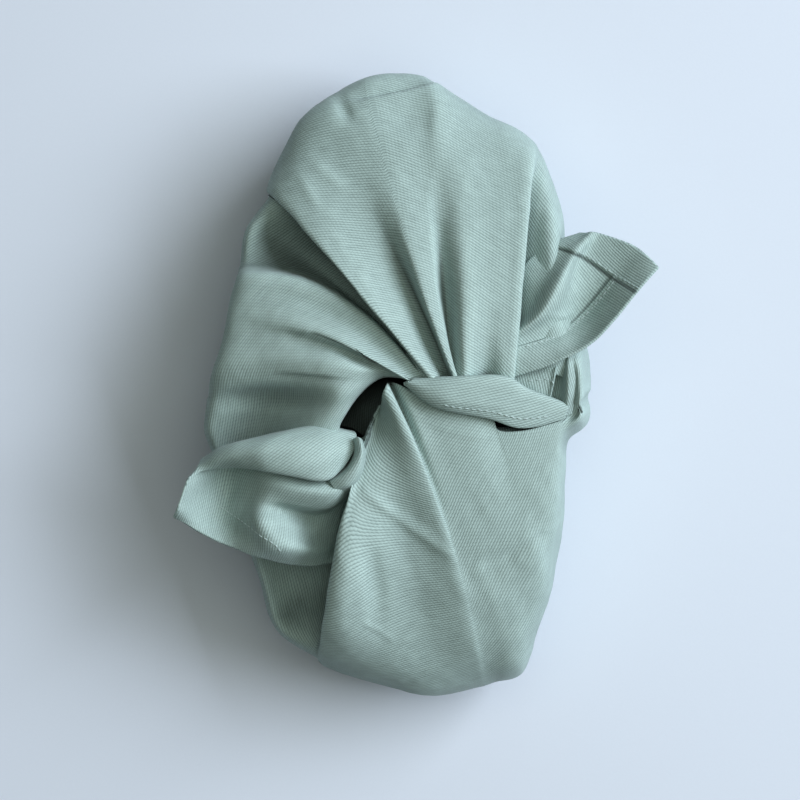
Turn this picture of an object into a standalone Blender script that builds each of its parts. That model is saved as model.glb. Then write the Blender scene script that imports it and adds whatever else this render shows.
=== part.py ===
"""Bento bag: one cotton twill cloth sewn as a bag with two pointed corners, filled and tied in one half-knot on top.

The cloth is a hollow shell of one piece. Its outer face is a loft through the folds that fan out from the
slit under the knot, over the crown, down the sides and under the base. The band over the knot and the two
hemmed corners are sheets of the same cloth, joined into it. Lengths in the tables are millimetres.
"""

import math

import bmesh
import bpy
import numpy as np

MM = 0.001

# The plan points of the tables were sighted from straight above, at the knot's height.
# A lower point of the bag lies further out along the same sight line.
EYE_HEIGHT = 900.0
KNOT_HEIGHT = 86.0
BAG_CENTRE = (6.3, 8.15)

CLOTH = 2.0
BAND_CLOTH = 2.2
CORNER_CLOTH = 1.7
WRAP_CLOTH = 1.2
CROWN_HEIGHT = 79.0
CROWN_POWER = (2.3, 0.5)
LIP_DEPTH = 9.0
LIP_IN = 2.0
SLIT_HALF_WIDTH = 3.2
LIFT_PLACES = (0.0, 0.5, 0.8, 1.0)
BASE_INSET = 15.0
BASE_NEIGHBOURS = (-2, -1, 0, 1, 2)
SIDE_WAVE = 0.55
SLIT_LINE = ((62.0, 0.0), (30.0, 1.0), (4.0, 4.6), (-10.0, -2.0), (-20.0, -13.5))

OUTER_STEPS = (14, 5)
INNER_STEPS = (7, 3)
LIP_STEPS = 2
LONGEST_STEP = 9.5
SHORT_GAP = 3.0

# Where the inner face lies, the last three as shares of the cloth's thickness.
GATHER_DEPTH = 2.5
GATHER_NEIGHBOURS = range(-5, 6)
WALL_ROOM = 20.0
LEAST_ROOM = 0.2
NEAREST_TO_SLIT = 0.5
INNER_LIP = 0.9
INNER_MID = 0.5
INNER_RIM = 1.15

COLUMNS = ("name", "near_x", "near_y", "near_lift", "mid_x", "mid_y", "mid_lift",
           "rim_x", "rim_y", "far_lift", "rim_z", "under")
# Each row is one fold line, from the slit (near) over the crown (mid) to the bag's outline (rim).
# lift is its height over the plain crown. under marks the edge of a layer that lies over the next one.
LOOP_FOLDS = (
    ("loop_notch", 64.0, -9.6, 0.0, 66.2, -12.4, -1.0, 67.4, -16.0, 0.0, 42, 0),
    ("loop_low", 66.4, -6.4, 1.0, 71.0, -6.8, 3.0, 74.4, -9.2, 3.0, 46, 0),
    ("loop_mid", 65.6, 0.8, 2.0, 71.0, 1.2, 4.0, 76.0, 2.4, 4.0, 48, 0),
    ("loop_up", 64.6, 8.0, 1.0, 70.0, 12.8, 2.0, 74.8, 16.0, 2.0, 46, 0),
    ("side_low", 61.2, 10.4, 0.0, 67.0, 22.0, 0.0, 72.8, 30.0, 0.0, 40, 0),
    ("side_mid", 55.2, 11.0, -1.0, 60.8, 38.0, 0.0, 66.8, 55.2, 0.0, 36, 0),
    ("side_high", 50.4, 10.5, -3.0, 57.5, 56.0, -2.0, 64.8, 76.0, 0.0, 35, 0),
    ("side_in", 47.4, 9.6, -3.5, 53.2, 62.0, -3.0, 59.6, 91.0, -1.5, 34, 0),
)
UPPER_FOLDS = (
    ("upper_tuck", 42.0, 9.0, -4.0, 46.8, 61.0, -4.5, 56.4, 99.2, -2.5, 33, 0),
    ("upper_edge", 45.6, 6.4, 3.0, 50.4, 60.0, 3.5, 54.0, 103.2, 2.0, 33, 1),
    ("upper_band", 41.0, 6.4, 2.5, 42.4, 58.0, 3.0, 46.0, 108.8, 1.0, 32, 0),
    ("valley_right", 33.6, 6.4, -6.0, 39.0, 55.2, 0.0, 39.2, 112.8, 0.0, 32, 0),
    ("crest_right", 28.0, 6.4, 2.5, 31.5, 55.2, 2.0, 29.6, 118.4, 1.0, 32, 0),
    ("valley_mid", 22.0, 6.4, -5.0, 21.0, 58.0, -6.0, 18.0, 126.8, -3.5, 31, 0),
    ("crest_mid_edge", 22.8, 6.4, 2.5, 16.0, 54.0, 2.5, 12.0, 130.0, 0.5, 31, 1),
    ("crest_mid", 20.6, 6.4, 4.0, 10.0, 58.0, 4.5, 4.8, 133.6, 1.5, 31, 0),
    ("valley_left", 17.4, 6.4, -7.0, 0.8, 58.0, -6.0, -11.2, 126.4, -4.5, 31, 0),
    ("crest_left", 13.0, 6.4, 4.5, -13.0, 50.4, 6.0, -36.0, 111.2, 4.0, 32, 0),
    ("left_edge", 10.2, 6.4, 1.0, -23.2, 49.2, 3.0, -52.8, 84.0, 2.0, 34, 1),
    ("left_tuck", 9.0, 7.0, -2.5, -19.0, 50.0, -9.0, -54.8, 80.4, -4.0, 34, 0),
    ("hollow", 7.6, 7.6, -3.0, -31.2, 51.0, -11.0, -61.6, 67.2, -7.0, 35, 0),
)
LEFT_FOLDS = (
    ("shoulder_top", 6.4, 7.6, 0.0, -28.0, 43.0, -5.0, -64.8, 55.2, -3.0, 36, 0),
    ("shoulder_crest", 4.6, 6.6, 4.5, -30.0, 34.2, 5.5, -65.0, 44.0, 3.0, 36, 0),
    ("shoulder_lee", 1.8, 7.4, 1.0, -32.8, 28.5, 3.0, -68.0, 32.8, 2.0, 36, 0),
    ("groove", -2.5, 9.5, -5.0, -36.0, 22.0, -2.5, -72.0, 23.2, 0.0, 36, 0),
    ("panel", -7.0, 9.5, -2.0, -38.0, 16.5, 2.5, -74.8, 12.8, 1.0, 36, 0),
    ("crease", -11.5, 6.8, -1.0, -40.0, 9.4, 0.0, -76.8, 4.0, 0.0, 36, 0),
    ("panel_low", -17.0, 1.6, 0.0, -40.0, 4.0, 1.5, -77.6, -4.8, 0.5, 36, 0),
    ("shade", -21.5, -4.8, -1.0, -46.0, -4.8, -1.5, -78.0, -12.8, 0.0, 36, 0),
    ("shade_low", -24.5, -10.8, -3.0, -50.0, -16.0, -3.0, -74.4, -23.2, -1.0, 36, 0),
    ("behind_corner", -23.5, -15.5, -4.0, -46.0, -36.0, -9.0, -64.8, -48.8, -4.0, 36, 0),
    ("back", -20.5, -17.5, -5.0, -38.0, -58.0, -8.0, -56.8, -70.0, -5.0, 35, 0),
    ("back_low", -17.0, -17.0, -5.0, -32.0, -64.0, -10.0, -48.8, -92.8, -7.0, 34, 0),
)
LOWER_FOLDS = (
    ("lower_tuck", -13.5, -13.5, -5.0, -19.0, -58.0, -10.0, -35.4, -103.2, -5.0, 33, 0),
    ("lower_edge", -10.5, -7.0, 0.5, -23.0, -50.0, 1.0, -33.0, -105.0, 1.5, 33, 1),
    ("lower_roll", -7.6, -3.6, 2.5, -17.0, -54.0, 3.5, -26.0, -108.4, 2.0, 33, 0),
    ("lower_band", -5.4, -1.0, 1.5, -9.0, -56.0, 2.0, -14.0, -112.8, 2.0, 33, 0),
    ("lower_valley", -3.0, 1.2, -3.5, 6.5, -54.0, -2.5, 8.0, -119.2, -0.5, 33, 0),
    ("ridge", 0.0, 2.4, 4.5, 19.2, -50.0, 4.5, 32.0, -114.8, 1.5, 33, 0),
    ("ridge_edge", 1.8, 1.6, 2.5, 22.0, -50.0, 2.0, 37.0, -114.2, 0.5, 33, 1),
    ("ridge_foot", 3.5, 1.5, -2.0, 25.0, -47.5, 0.0, 42.0, -113.0, 0.0, 33, 0),
    ("front_a", 10.4, -0.4, 3.0, 34.0, -52.0, 1.0, 51.6, -108.8, 0.0, 34, 0),
    ("front_b", 19.6, -6.0, 3.0, 42.0, -50.0, 1.0, 55.2, -92.0, 0.0, 35, 0),
    ("front_c", 33.2, -11.2, 2.5, 49.0, -44.0, 0.5, 61.2, -74.0, 0.0, 36, 0),
    ("front_d", 48.4, -13.6, 2.0, 58.0, -36.0, 0.0, 64.8, -52.0, 0.0, 37, 0),
    ("front_e", 59.2, -11.6, 1.0, 63.2, -20.8, 0.0, 66.4, -28.8, 0.0, 39, 0),
)

SHEET_COLUMNS = ("name", "near_x", "near_y", "near_z", "mid_x", "mid_y", "mid_z", "far_x", "far_y", "far_z")
# Each row is one line along the cloth, in the order in which the lines lie side by side.
BAND_LINES = (
    ("tucked", 4.0, 8.2, 79.0, 28.0, 9.6, 80.0, 47.0, 10.0, 79.0),
    ("top_edge", 7.0, 8.4, 85.0, 27.2, 8.8, 86.0, 46.8, 8.6, 84.0),
    ("middle", 4.5, 5.2, 87.0, 28.0, 3.4, 88.0, 52.5, 1.6, 84.0),
    ("hem", 2.6, 3.6, 85.5, 31.0, -3.4, 86.5, 59.0, -4.0, 82.0),
    ("lower_edge", 1.4, 3.4, 83.0, 32.0, -6.8, 84.5, 64.5, -8.0, 80.5),
)
POCKET_LINES = (
    ("top_edge", 43.0, 13.0, 76.0, 54.0, 18.0, 74.0, 64.0, 19.0, 72.0),
    ("middle", 44.0, 5.0, 80.5, 54.0, 6.6, 79.5, 63.4, 7.0, 77.5),
    ("lower_edge", 47.0, -3.0, 79.0, 56.0, -5.0, 78.0, 64.5, -5.6, 75.5),
)
RIGHT_CORNER_LINES = (
    ("foot", 41.0, 33.0, 72.0, 52.0, 56.4, 62.0, 70.4, 65.6, 68.0),
    ("wall", 44.0, 30.6, 78.0, 56.8, 46.8, 73.0, 73.2, 66.4, 72.0),
    ("crest", 47.2, 27.2, 84.0, 61.2, 40.8, 84.0, 76.8, 66.8, 75.0),
    ("inside", 47.6, 23.6, 85.0, 67.2, 35.2, 80.5, 88.8, 62.8, 70.5),
    ("hem", 46.4, 19.6, 84.6, 72.0, 33.6, 77.0, 100.0, 57.0, 67.0),
    ("outer_edge", 41.2, 8.6, 83.0, 75.0, 22.4, 73.0, 103.2, 52.8, 64.5),
)
LEFT_CORNER_LINES = (
    ("behind", -17.0, -11.0, 72.0, -48.0, -12.6, 66.0, -79.0, -22.4, 62.0),
    ("roll_top", -17.4, -12.6, 78.0, -48.0, -13.4, 73.0, -81.6, -25.2, 65.0),
    ("roll_crest", -17.6, -18.0, 83.5, -48.0, -20.0, 81.0, -84.0, -30.0, 67.0),
    ("roll_edge", -19.6, -28.0, 79.0, -50.0, -30.4, 75.0, -85.6, -33.0, 65.0),
    ("first_groove", -17.6, -28.0, 72.0, -49.0, -28.8, 69.0, -86.4, -36.0, 62.0),
    ("second_roll", -17.2, -36.0, 75.5, -50.0, -38.0, 73.0, -87.6, -38.8, 63.0),
    ("second_groove", -18.0, -45.0, 68.0, -56.0, -44.0, 66.0, -88.4, -41.6, 61.0),
    ("third_roll", -22.0, -55.0, 69.0, -50.0, -52.0, 72.0, -89.6, -44.4, 61.5),
    ("lower_edge", -24.4, -65.0, 61.0, -55.0, -64.6, 63.0, -90.4, -46.8, 60.0),
)
LEFT_WRAP_LINES = (
    ("inner", -24.5, -12.0, 76.0, -17.6, -17.4, 77.5, -20.6, -33.0, 72.0),
    ("crest", -23.0, -9.0, 77.5, -14.8, -16.2, 79.0, -18.0, -35.0, 73.5),
    ("outer", -21.5, -6.4, 76.0, -12.0, -15.0, 77.5, -15.4, -37.0, 72.0),
)

SHEETS = (
    # name, lines, steps across each gap, steps along, thickness
    ("knot_band", BAND_LINES, 2, 14, BAND_CLOTH),
    ("knot_pocket", POCKET_LINES, 3, 6, CORNER_CLOTH),
    ("right_corner", RIGHT_CORNER_LINES, 2, 12, CORNER_CLOTH),
    ("left_corner", LEFT_CORNER_LINES, 2, 12, CORNER_CLOTH),
    ("left_wrap", LEFT_WRAP_LINES, 2, 8, WRAP_CLOTH),
)

TWILL_COLOUR = (0.262, 0.352, 0.284, 1.0)
TWILL_ROUGHNESS = 0.9


def placed(points):
    """Sighted points (x, y, z) moved to where they lie in the bag's frame."""
    points = np.asarray(points, float)
    spread = (EYE_HEIGHT - points[..., 2:]) / (EYE_HEIGHT - KNOT_HEIGHT)
    plan = points[..., :2] * spread - np.array(BAG_CENTRE)
    return np.concatenate([plan, points[..., 2:]], axis=-1)


def columns_of(table, names):
    return {name: np.array([row[i] for row in table]) for i, name in enumerate(names)}


def through_three(near, mid, far, s):
    """The quadratic through the near, middle and far values, at each s from 0 to 1."""
    s = np.asarray(s)[:, None, None] if np.ndim(near) == 2 else np.asarray(s)[:, None]
    return near * (1 - s) * (1 - 2 * s) + mid * 4 * s * (1 - s) + far * s * (2 * s - 1)


def lift_at(near, mid, far, s):
    """The cubic through the lifts at the slit, halfway, at four fifths, and none at the rim."""
    total = 0.0
    for value, knot in zip((near, mid, far), LIFT_PLACES):
        weight = np.ones_like(s)
        for other in LIFT_PLACES:
            if other != knot:
                weight = weight * (s - other) / (knot - other)
        total = total + weight[:, None] * value
    return total


def smooth_run(points, counts, closed):
    """A curve through points along axis 1, counts[i] samples from point i to the next one."""
    ahead = np.roll(points, -1, axis=1)
    gap = np.sqrt(np.maximum(np.linalg.norm(ahead - points, axis=2), 1e-3))[..., None]
    slope = (ahead - points) / gap
    before_gap, before_slope = np.roll(gap, 1, axis=1), np.roll(slope, 1, axis=1)
    tangent = (before_gap * slope + gap * before_slope) / (before_gap + gap)
    if not closed:
        tangent[:, 0], tangent[:, -1] = slope[:, 0], slope[:, -2]
    runs = []
    for i in range(points.shape[1] - (0 if closed else 1)):
        j = (i + 1) % points.shape[1]
        t = (np.arange(counts[i]) / counts[i])[None, :, None]
        p, q, h = points[:, i:i + 1], points[:, j:j + 1], gap[:, i:i + 1]
        a, b = tangent[:, i:i + 1] * h, tangent[:, j:j + 1] * h
        runs.append((2 * t**3 - 3 * t**2 + 1) * p + (t**3 - 2 * t**2 + t) * a
                    + (3 * t**2 - 2 * t**3) * q + (t**3 - t**2) * b)
    if not closed:
        runs.append(points[:, -1:])
    return np.concatenate(runs, axis=1)


def nearest_on_slit(point):
    best = None
    for a, b in zip(SLIT_LINE, SLIT_LINE[1:]):
        a, b = np.array(a), np.array(b)
        t = np.clip((point - a) @ (b - a) / ((b - a) @ (b - a)), 0, 1)
        on_line = a + t * (b - a)
        if best is None or np.linalg.norm(on_line - point) < np.linalg.norm(best - point):
            best = on_line
    return best


def outer_folds():
    folds = columns_of(LOOP_FOLDS + UPPER_FOLDS + LEFT_FOLDS + LOWER_FOLDS, COLUMNS)
    near = np.stack([folds["near_x"], folds["near_y"]], axis=1).astype(float)
    mid = np.stack([folds["mid_x"], folds["mid_y"]], axis=1).astype(float)
    rim = np.stack([folds["rim_x"], folds["rim_y"]], axis=1).astype(float)
    lifts = np.stack([folds["near_lift"], folds["mid_lift"], folds["far_lift"]]).astype(float)
    return near, mid, rim, lifts, folds["rim_z"].astype(float), folds["under"].astype(bool)


def unfolded(values, under):
    """The values with each layer's edge set between its neighbours, so that no layer lies over another."""
    values = values.copy()
    for i in np.flatnonzero(under):
        values[i] = (values[i - 1] + values[(i + 1) % len(under)]) / 2
    return values


def inner_folds():
    """The same folds without the layers' edges, lowered by the cloth, for the face inside the bag."""
    near, mid, rim, lifts, rim_z, under = outer_folds()
    near, mid, rim = (unfolded(values, under) for values in (near, mid, rim))
    for i in np.flatnonzero(under):
        lifts[:, i] = np.minimum(lifts[:, i - 1], lifts[:, (i + 1) % len(under)])
    lifts[0] = np.min([np.roll(lifts[0], k) for k in GATHER_NEIGHBOURS], axis=0) - GATHER_DEPTH
    away = np.array([p - nearest_on_slit(p) for p in near])
    away /= np.maximum(np.linalg.norm(away, axis=1), NEAREST_TO_SLIT)[:, None]
    room = np.clip(np.linalg.norm(rim - near, axis=1) / WALL_ROOM, LEAST_ROOM, 1.0)
    outward = rim / np.linalg.norm(rim, axis=1)[:, None]
    near = near + CLOTH * away * room[:, None]
    mid = mid - INNER_MID * CLOTH * outward
    rim = rim - INNER_RIM * CLOTH * outward
    return near, mid, rim, lifts, rim_z, under


def body_rows(folds, thickness, steps):
    """Guide points (row, fold, xyz) from the slit, over the crown, down to the base's edge."""
    near, mid, rim, lifts, rim_z, _ = folds
    crown_steps, side_steps = steps
    s = np.sin(np.linspace(0, math.pi / 2, crown_steps + 1))
    plan = through_three(near, mid, rim, s)
    crown = (1 - s ** CROWN_POWER[0]) ** CROWN_POWER[1]
    top = CROWN_HEIGHT - thickness
    height = rim_z + (top - rim_z) * crown[:, None] + lift_at(*lifts, s)
    rows = [np.dstack([plan, height])]
    turn = np.linspace(0, math.pi / 2, side_steps + 1)[1:]
    outward = rim / np.linalg.norm(rim, axis=1)[:, None]
    base = sum(np.roll(rim, k, axis=0) for k in BASE_NEIGHBOURS) / len(BASE_NEIGHBOURS)
    base = base - outward * (BASE_INSET - 0.5 * thickness)
    for angle in turn:
        edge = base + (rim - base) * math.cos(angle)
        edge = edge + outward * (SIDE_WAVE * math.sin(2 * angle) * lifts[2])[:, None]
        level = thickness + (rim_z - thickness) * (1 - math.sin(angle))
        rows.append(np.dstack([edge[None], level[None]]))
    return np.concatenate(rows)


def lip_rows(folds, first):
    """Guide points of the cloth's edge, turned down into the slit."""
    near, under = folds[0], folds[5]
    rows = []
    for step in range(LIP_STEPS, 0, -1):
        share = step / LIP_STEPS
        spread_out = near * (1 - share) + unfolded(near, under) * share
        plan = []
        for point in spread_out:
            to_line = nearest_on_slit(point) - point
            distance = np.linalg.norm(to_line)
            move = min(LIP_IN, max(distance - SLIT_HALF_WIDTH, 0.0)) * math.sin(share * math.pi / 2)
            plan.append(point + to_line / max(distance, 1e-6) * move)
        level = first[:, 2] * (1 - share) + (CROWN_HEIGHT - LIP_DEPTH) * share
        rows.append(np.column_stack([plan, level]))
    return np.array(rows)


def gap_counts(rows):
    """How many columns each gap between neighbouring folds takes, from its widest place."""
    guides = placed(rows)
    widths = np.linalg.norm(np.roll(guides, -1, axis=1) - guides, axis=2).max(axis=0)
    least = np.where(widths < SHORT_GAP, 1, 2)
    return np.maximum(np.round(widths / LONGEST_STEP).astype(int), least)


def body_faces():
    """The outer face and the inner face of the bag, as grids of points (row, column, xyz)."""
    outer, inner = outer_folds(), inner_folds()
    outer_body = body_rows(outer, 0.0, OUTER_STEPS)
    lip = lip_rows(outer, outer_body[0])
    inner_lip = lip[:1].copy()
    away = np.array([p - nearest_on_slit(p) for p in inner_lip[0, :, :2]])
    inner_lip[0, :, :2] += INNER_LIP * CLOTH * away / np.linalg.norm(away, axis=1)[:, None]
    outer_rows = np.concatenate([lip, outer_body])
    inner_rows = np.concatenate([inner_lip, body_rows(inner, CLOTH, INNER_STEPS)])
    counts = gap_counts(outer_rows)
    return smooth_run(placed(outer_rows), counts, True), smooth_run(placed(inner_rows), counts, True)


def new_object(name, points, faces):
    mesh = bpy.data.meshes.new(name)
    mesh.from_pydata([tuple(p * MM) for p in points], [], faces)
    mesh.update()
    obj = bpy.data.objects.new(name, mesh)
    bpy.context.scene.collection.objects.link(obj)
    for polygon in mesh.polygons:
        polygon.use_smooth = True
    return obj


def grid_faces(rows, columns, closed, start=0, flip=False):
    faces = []
    for r in range(rows - 1):
        for c in range(columns if closed else columns - 1):
            d = (c + 1) % columns
            quad = (start + r * columns + c, start + (r + 1) * columns + c,
                    start + (r + 1) * columns + d, start + r * columns + d)
            faces.append(quad[::-1] if flip else quad)
    return faces


def make_body():
    """The hollow bag: the outer face and the inner face, joined along the lip of the slit."""
    outer, inner = body_faces()
    rows, columns = outer.shape[:2]
    inner_rows = inner.shape[0]
    inner_start = rows * columns
    points = list(outer.reshape(-1, 3)) + list(inner.reshape(-1, 3))
    faces = grid_faces(rows, columns, True) + grid_faces(inner_rows, columns, True, inner_start, True)
    for c in range(columns):
        d = (c + 1) % columns
        faces.append((c, d, inner_start + d, inner_start + c))
    faces.append(tuple((rows - 1) * columns + c for c in reversed(range(columns))))
    faces.append(tuple(inner_start + (inner_rows - 1) * columns + c for c in range(columns)))
    return new_object("bag_cloth", points, faces)


def sheet_surface(lines, across, along):
    """Points (across, along) of a cloth that runs through the table's lines."""
    table = columns_of(lines, SHEET_COLUMNS)
    ends = [np.stack([table[f"{end}_{axis}"] for axis in "xyz"], axis=1).astype(float)
            for end in ("near", "mid", "far")]
    run = through_three(*ends, np.linspace(0, 1, along + 1))
    return smooth_run(placed(run), [across] * (len(lines) - 1), False).transpose(1, 0, 2)


def thick_sheet(name, lines, across, along, thickness):
    """A closed solid: the sheet's upper face, and its lower face one thickness beneath."""
    upper = sheet_surface(lines, across, along)
    side, length = np.gradient(upper, axis=0), np.gradient(upper, axis=1)
    normal = np.cross(side, length)
    normal /= np.maximum(np.linalg.norm(normal, axis=2, keepdims=True), 1e-9)
    if normal[..., 2].mean() < 0:
        normal = -normal
    lower = upper - thickness * normal
    rows, columns = upper.shape[:2]
    start = rows * columns
    points = list(upper.reshape(-1, 3)) + list(lower.reshape(-1, 3))
    faces = grid_faces(rows, columns, False) + grid_faces(rows, columns, False, start, True)
    rim = [c for c in range(columns)]
    rim += [r * columns + columns - 1 for r in range(1, rows)]
    rim += [(rows - 1) * columns + c for c in range(columns - 2, -1, -1)]
    rim += [r * columns for r in range(rows - 2, 0, -1)]
    for a, b in zip(rim, rim[1:] + rim[:1]):
        faces.append((a, b, start + b, start + a))
    obj = new_object(name, points, faces)
    shape = bmesh.new()
    shape.from_mesh(obj.data)
    bmesh.ops.recalc_face_normals(shape, faces=shape.faces)
    shape.to_mesh(obj.data)
    shape.free()
    return obj


def twill_material():
    material = bpy.data.materials.new("sage_twill")
    material.use_nodes = True
    shader = material.node_tree.nodes["Principled BSDF"]
    shader.inputs["Base Color"].default_value = TWILL_COLOUR
    shader.inputs["Roughness"].default_value = TWILL_ROUGHNESS
    shader.inputs["Metallic"].default_value = 0.0
    return material


def helper_collection():
    helpers = bpy.data.collections.new("joined_into_bag")
    helpers.hide_render = True
    bpy.context.scene.collection.children.link(helpers)
    return helpers


def main():
    for obj in list(bpy.data.objects):
        bpy.data.objects.remove(obj, do_unlink=True)
    material = twill_material()
    body = make_body()
    body.data.materials.append(material)
    helpers = helper_collection()
    for name, lines, across, along, thickness in SHEETS:
        piece = thick_sheet(name, lines, across, along, thickness)
        piece.data.materials.append(material)
        bpy.context.scene.collection.objects.unlink(piece)
        helpers.objects.link(piece)
        piece.display_type = "WIRE"
        piece.hide_render = True
        join = body.modifiers.new(name, "BOOLEAN")
        join.operation = "UNION"
        join.solver = "EXACT"
        join.object = piece


if __name__ == "__main__":
    main()
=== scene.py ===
"""Bento bag: the looks of a filled cotton twill bag, tied in one half-knot on top, over its CAD frame.

The body repeats the fold lines of the part's solid at a finer step, as one thin shell of cloth, with the
smaller creases laid on it. The knot's band, the two corners, the cloth around them and the folds
inside the openings are thin sheets of the same cloth. Lengths in the tables are millimetres, angles are
degrees.
"""

import math
from collections import namedtuple

import bpy
import numpy as np
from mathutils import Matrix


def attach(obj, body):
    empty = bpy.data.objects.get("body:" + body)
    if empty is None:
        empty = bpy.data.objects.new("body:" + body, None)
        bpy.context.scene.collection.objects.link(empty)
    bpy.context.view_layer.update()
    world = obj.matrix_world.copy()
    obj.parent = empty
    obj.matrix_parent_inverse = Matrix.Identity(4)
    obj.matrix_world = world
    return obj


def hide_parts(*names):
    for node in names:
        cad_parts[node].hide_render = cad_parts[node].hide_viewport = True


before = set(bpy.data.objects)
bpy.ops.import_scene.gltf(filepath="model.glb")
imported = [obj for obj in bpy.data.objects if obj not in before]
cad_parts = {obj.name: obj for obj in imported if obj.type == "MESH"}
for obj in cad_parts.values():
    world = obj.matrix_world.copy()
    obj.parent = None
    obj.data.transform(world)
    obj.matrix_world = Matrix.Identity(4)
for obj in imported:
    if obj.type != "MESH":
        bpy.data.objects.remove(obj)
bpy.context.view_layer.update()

bl_info = {
    "name": "Bento bag",
    "version": (1, 0, 0),
    "blender": (4, 5, 0),
    "location": "View3D > Sidebar > Bento bag",
    "description": "Builds a tied cotton twill bento bag with its weave, creases, hems and stitches",
    "category": "Object",
}

MM = 0.001

# The plan points of the tables were sighted from straight above, at the knot's height.
# A lower point of the bag lies further out along the same sight line.
EYE_HEIGHT = 900.0
KNOT_HEIGHT = 86.0
BAG_CENTRE = (6.3, 8.15)
PHOTO_WIDTH = 320.0

# The plain crown falls from its full height at the slit to the rim, by two powers.
CROWN_HEIGHT = 79.0
CROWN_POWER = (3.0, 0.42)
# Where along the crown the lifts of a fold line hold: near, mid, far, and none at the rim.
LIFT_PLACES = (0.0, 0.5, 0.8, 1.0)
# The cloth's edge turns down into the slit, and inward by LIP_IN where the slit is wide enough.
LIP_DEPTH = 9.0
LIP_IN = 0.5
SLIT_HALF_WIDTH = 3.2
SLIT_LINE = ((62.0, 0.0), (30.0, 1.0), (4.0, 4.6), (-10.0, -2.0), (-20.0, -13.5))
# The sides curve in by BASE_INSET to a base that is smoothed over the neighbouring folds, and rings close it.
BASE_INSET = 15.0
BASE_NEIGHBOURS = (-2, -1, 0, 1, 2)
BASE_RINGS = (0.93, 0.8, 0.6, 0.4, 0.2)
SIDE_WAVE = 0.55

# Wrinkles are sums of waves: longest, shortest and how many. Each sheet has its seed in its own row.
BODY_SOFT_SEED = 11
BODY_SOFT_WAVES = (42.0, 18.0, 26)
BODY_FINE_SEED = 12
BODY_FINE_WAVES = (9.0, 5.0, 30)
BODY_FINE_SHARE = 0.18
SHEET_WAVES = (26.0, 9.0, 20)
# Wrinkles fade in over the first share of the crown, and out over the last height above the table.
WRINKLE_START = 0.25
WRINKLE_END = 6.0
# A crease reaches this many times its width, and its line is drawn with this many points.
CREASE_REACH = 2.6
CREASE_POINTS = 33

# Wear is full where the cloth stands out this far from the cloth a few columns to either side, and the
# painted shade of a hollow is full where it lies this deep. The power keeps the painted shade of shallow
# hollows light.
WEAR_REACH = 2
WEAR_HEIGHT = 0.25
PAINTED_SHADE_REACH = 11
PAINTED_SHADE_DEPTH = 9.0
PAINTED_SHADE_POWER = 1.7

# The edge of a sheet bulges by this share of its thickness. A hem rises over this share of a step.
EDGE_ROUND = 0.45
HEM_STEP = 0.06
# The painted shadow in the gap beside a hem: its darkness and its half width in steps, at the end and along
# the side.
HEM_END_SHADOW = (1.3, 1.4)
HEM_SIDE_SHADOW = (1.0, 1.3)
# A hem that doesn't cross the stations or the lines starts at a place past the end of the sheet.
NEVER = 9.0

# How strongly the map of the weave keeps to the table's directions, and its turns towards even cloth.
MAP_TRUST = 0.1
MAP_TURNS = 14
# A place of the table counts by its squared distance plus MAP_NEAR, to the power MAP_FALL.
MAP_NEAR = 4.0
MAP_FALL = -1.6
# How much the map holds together across a cut, and how many rounds each turn takes.
MAP_CUT_HOLD = 1e-4
BODY_ROUNDS = 200
SHEET_ROUNDS = 120
# The share of the crown beyond which the weave keeps its angle to the sides of the bag.
MAP_CARRY = 0.8

# The twill: how much each line's floats are shifted from the next, their rate and their height.
FLOAT_SHIFT = 0.37
FLOAT_RATE = 0.62
FLOAT_HEIGHT = 0.16
SLUB_RATES = (1.1, 0.11)
# How much slubs, thread specks and worn edges change the colour of the cloth, and how much painted shade
# darkens hollows.
STREAK_SHARE = 0.35
SPECK_SHARE = 0.25
WORN_SHARE = 0.10
PAINTED_SHADE_SHARE = 0.62
# The twill's relief in metres, the roughness that its gaps add, and the thread's least and added roughness.
TWILL_RELIEF = 0.0003
GAP_ROUGHNESS = 0.1
THREAD_ROUGHNESS = (0.55, 0.2)

# How high the thread lies on the cloth.
STITCH_LIFT = 0.14
STITCH_PATH_POINTS = 160
STITCH_SEED = 31

# Half the table's width in metres, and the window's colour and its height as a share of its width.
TABLE_HALF = 3.0
WINDOW_COLOUR = (0.90, 0.965, 1.05)
WINDOW_SHAPE = 0.5
SENSOR_WIDTH = 36.0

FOLD_COLUMNS = ("name", "near_x", "near_y", "near_lift", "mid_x", "mid_y", "mid_lift",
                "rim_x", "rim_y", "far_lift", "rim_z", "under")
# Each row is one fold line, from the slit (near) over the crown (mid) to the bag's outline (rim).
# lift is its height over the plain crown. under marks the edge of a layer that lies over the next one.
LOOP_FOLDS = (
    ("loop_notch", 64.4, -8.0, 0.0, 66.2, -12.4, 0.0, 67.4, -16.0, 0.0, 50, 0),
    ("loop_low", 66.8, -4.8, -2.0, 71.0, -6.8, 2.0, 74.4, -9.2, 3.0, 56, 0),
    ("loop_mid", 67.0, 0.8, -2.5, 71.4, 1.2, 4.0, 76.0, 2.4, 5.0, 58, 0),
    ("loop_up", 66.4, 8.0, -2.5, 70.6, 12.8, 3.0, 74.8, 16.0, 4.0, 56, 0),
    ("side_low", 61.2, 10.4, 0.0, 67.0, 22.0, 1.0, 72.8, 30.0, 0.4, 54, 0),
    ("side_mid", 55.2, 11.0, -1.0, 60.8, 38.0, 0.0, 66.8, 55.2, 0.4, 50, 0),
    ("side_high", 50.4, 10.5, -3.0, 57.5, 56.0, -4.5, 64.8, 76.0, -1.0, 49, 0),
    ("side_in", 47.4, 9.6, -3.5, 53.2, 62.0, -8.5, 59.6, 91.0, -3.5, 48, 0),
)
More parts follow.
